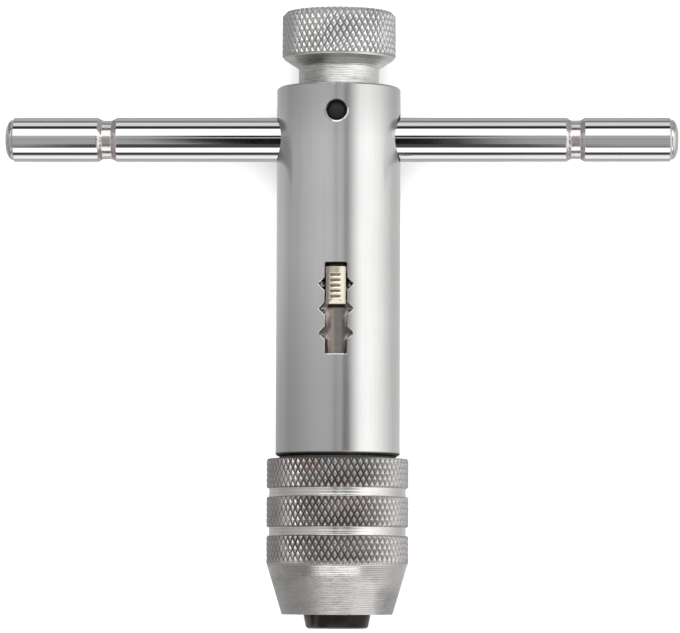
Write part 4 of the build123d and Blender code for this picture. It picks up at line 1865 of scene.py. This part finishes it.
# Studio


@dataclass(frozen=True)
class LightBand:
    """Light panel, or gap between panels, that crosses above the tool from left to right.

    Attributes:
        low: Angle of its lower edge from straight up, in degrees, positive towards the knob.
        high: Angle of its upper edge.
        strength: Its brightness.
        left: Its left end, as the sideways part of the direction.
        right: Its right end.
        soft: Width of the fade at its two ends.
    """

    low: float
    high: float
    strength: float
    left: float = -0.40
    right: float = 0.30
    soft: float = 0.1


@dataclass(frozen=True)
class Studio:
    """Camera, paper floor and the light tent round the tool.

    Attributes:
        camera_at: Place of the camera.
        camera_aim: Point in the middle of its picture.
        camera_roll: Its roll, in degrees.
        floor_reach: Half of the paper's width.
        strips: Panels that cross over the tool.
        strip_edge: Softness of their long edges, in degrees.
        wall: Brightness of the tent's wall on the left.
        wall_tones: Angles between which the wall grows lighter, darker and lighter again, and
            by how much.
        seam: Angles of a darker seam in the wall, its softness and its depth.
        panel: Brightness of the right-hand panel, and its fall towards the back.
        slot_across: Angles across of the dark slot straight above, and its softness.
        slot_along: Its angles along the tool, and its softness.
        slot_break: Angles along between which the slot is interrupted, and its softness.
        slot_depth: Share of the light that the slot takes, and share that the break gives back.
        dim_across: Angles between which the dim patch beside the slot comes in and goes out.
        dim_along: Its angles along the tool, and its softness.
    """

    camera_at: Triple = (27.245, 4.6, 706.5)
    camera_aim: Triple = (0.305, 50.3, 0.0)
    camera_roll: float = 0.21
    lens: float = 232.2
    sensor: float = 36.0
    floor_height: float = -11.5
    floor_reach: float = 2600.0
    softbox: float = 3000.0
    softbox_height: float = 2500.0
    softbox_watts: float = 106.0
    strips: tuple[LightBand, ...] = (
        LightBand(16.5, 53.0, 1.9, -0.46, 0.85),
        LightBand(54.5, 68.0, 0.05),
        LightBand(72.0, 95.0, 1.15),
        LightBand(97.0, 110.0, 0.34),
        LightBand(112.0, 142.0, 0.66),
        LightBand(-46.0, -29.0, 0.10, -0.105, 0.012, 0.02),
        LightBand(-75.0, -48.5, 1.9, -0.46, 0.5),
        LightBand(-89.0, -76.5, 0.08),
        LightBand(-123.0, -96.0, 1.5),
        LightBand(-158.0, -125.0, 0.68),
    )
    strip_edge: float = 1.2
    wall: float = 0.50
    wall_tones: tuple[Triple, Triple, Triple] = (
        (-95.0, -30.0, 0.18), (-20.0, 3.0, 0.06), (-104.0, -125.0, 0.08),
    )
    seam: tuple[float, float, float, float] = (-105.0, -97.0, 5.0, 0.03)
    panel: tuple[float, float] = (1.45, 0.74)
    slot_across: Triple = (-4.5, -0.3, 1.2)
    slot_along: Triple = (-38.0, 22.0, 3.0)
    slot_break: Triple = (1.0, 7.8, 1.2)
    slot_depth: tuple[float, float] = (0.985, 0.93)
    dim_across: tuple[float, float, float, float] = (11.0, 14.0, 25.0, 18.0)
    dim_along: Triple = (-6.0, 22.0, 4.0)
    paper: StudioPaper = StudioPaper()

    def build(self) -> None:
        """Makes the camera, the floor and the tent."""
        self.make_camera()
        self.make_floor()
        self.make_tent()
        self.make_overhead()
        scene = bpy.context.scene
        scene.view_settings.view_transform = "Standard"
        scene.view_settings.look = "None"

    def make_camera(self) -> None:
        """Camera of the photograph, looking down on the tool."""
        data = bpy.data.cameras.new("studio_camera")
        data.lens, data.sensor_width, data.sensor_fit = self.lens, self.sensor, "HORIZONTAL"
        data.clip_start, data.clip_end = 0.01, 20.0
        camera = linked("studio_camera", data)
        eye, aim = Vector(self.camera_at) * MM, Vector(self.camera_aim) * MM
        ahead = (aim - eye).normalized()
        right = ahead.cross(Vector((0, 1, 0))).normalized()
        up = right.cross(ahead)
        roll = math.radians(self.camera_roll)
        right, up = (right * math.cos(roll) + up * math.sin(roll),
                     up * math.cos(roll) - right * math.sin(roll))
        turn = Matrix((right, up, -ahead)).transposed().to_4x4()
        camera.matrix_world = Matrix.Translation(eye) @ turn
        bpy.context.scene.camera = camera

    def make_floor(self) -> None:
        """Flat paper floor just under the tool."""
        corners = np.array([(-1, -1), (1, -1), (1, 1), (-1, 1)]) * self.floor_reach
        points = np.column_stack([corners, np.full(4, self.floor_height)])
        floor = mesh_object("paper_floor", points, [np.array([[0, 1, 2, 3]])])
        floor.data.materials.append(self.paper.material())
        floor.visible_glossy = False

    def make_overhead(self) -> None:
        """Broad softbox over the paper, which only matt surfaces pick up."""
        data = bpy.data.lights.new("overhead_softbox", "AREA")
        data.shape, data.size, data.energy = "SQUARE", self.softbox * MM, self.softbox_watts
        light = linked("overhead_softbox", data)
        light.location = (0.0, 0.0, self.softbox_height * MM)
        light.visible_camera = False
        light.visible_glossy = False

    def make_tent(self) -> None:
        """Soft light by direction.

        A grey wall stands on the left and a broad bright panel on the right, both lower
        towards knob and jaws. Strip panels cross over the tool, and a dark slot and a dim
        patch lie straight above it.
        """
        world = bpy.data.worlds.new("light_tent")
        bpy.context.scene.world = world
        sheet = NodeSheet(world)
        direction = sheet.node("ShaderNodeTexCoord").outputs["Generated"]
        x, y, z = sheet.axes(direction)
        side, rise = (sheet.maths("ARCTAN2", part, z) * math.degrees(1.0) for part in (x, y))
        left, front, far = (side.rise(low, high) * by for low, high, by in self.wall_tones)
        wall = self.wall + left - front + far - side.band(*self.seam[:3]) * self.seam[3]
        wall = wall * (1.0 + y.rise(0.12, 0.37) * 0.25 - y.rise(0.03, -0.24) * 0.18)
        ends = y.band(-0.12, 0.05, 0.02) * 0.24 + y.band(0.115, 0.2, 0.02) * 0.2
        wall = wall * (1.13 - ends)
        bright, fall = self.panel
        panel = bright - side.rise(60.0, 132.0) * fall
        below = rise.rise(4.6, 1.5)
        later = side - below * 7.0
        light = wall + (panel - wall) * later.rise(19.0, 45.0)
        level = y.band(-0.62, 0.42, 0.3)
        light = light * level + (0.33 + side.rise(15.0, 60.0) * 0.18) * (1.0 - level)
        depth, given_back = self.slot_depth
        slot = side.band(*self.slot_across) * rise.band(*self.slot_along) * depth
        slot = slot * (1.0 - rise.band(*self.slot_break) * given_back)
        dim = (side + below * 2.0).rise(*self.dim_across[:2])
        dim = dim * (side - below * 4.0).rise(*self.dim_across[2:])
        dim = dim * rise.band(*self.dim_along)
        light = light * (1.0 - slot) * (1.0 - dim * (0.38 + below * 0.48))
        for strip in self.strips:
            along = x.band(strip.left, strip.right, strip.soft)
            share = rise.band(strip.low, strip.high, self.strip_edge) * along
            light = light * (1.0 - share) + share * strip.strength
        shade = sheet.node("ShaderNodeCombineColor", None, {0: light, 1: light, 2: light})
        glow = sheet.node("ShaderNodeBackground", None, {"Color": shade.outputs[0]})
        sheet.node("ShaderNodeOutputWorld", None, {"Surface": glow.outputs[0]})


def main() -> None:
    """Builds the studio and every sub-assembly over the loaded frame."""
    logging.basicConfig(level=logging.INFO, format="%(name)s %(message)s")
    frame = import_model()
    Studio().build()
    shop = Workshop(frame)
    for assembly in (BodyTube(), HeadKnob(), CrossBar(), Selector(), ChuckSleeve(),
                     JawsAndSpindle()):
        assembly.build(shop)
        LOG.info("%s done", type(assembly).__name__)
    LOG.info("%d pieces", shop.count)


if __name__ == "__main__":
    main()
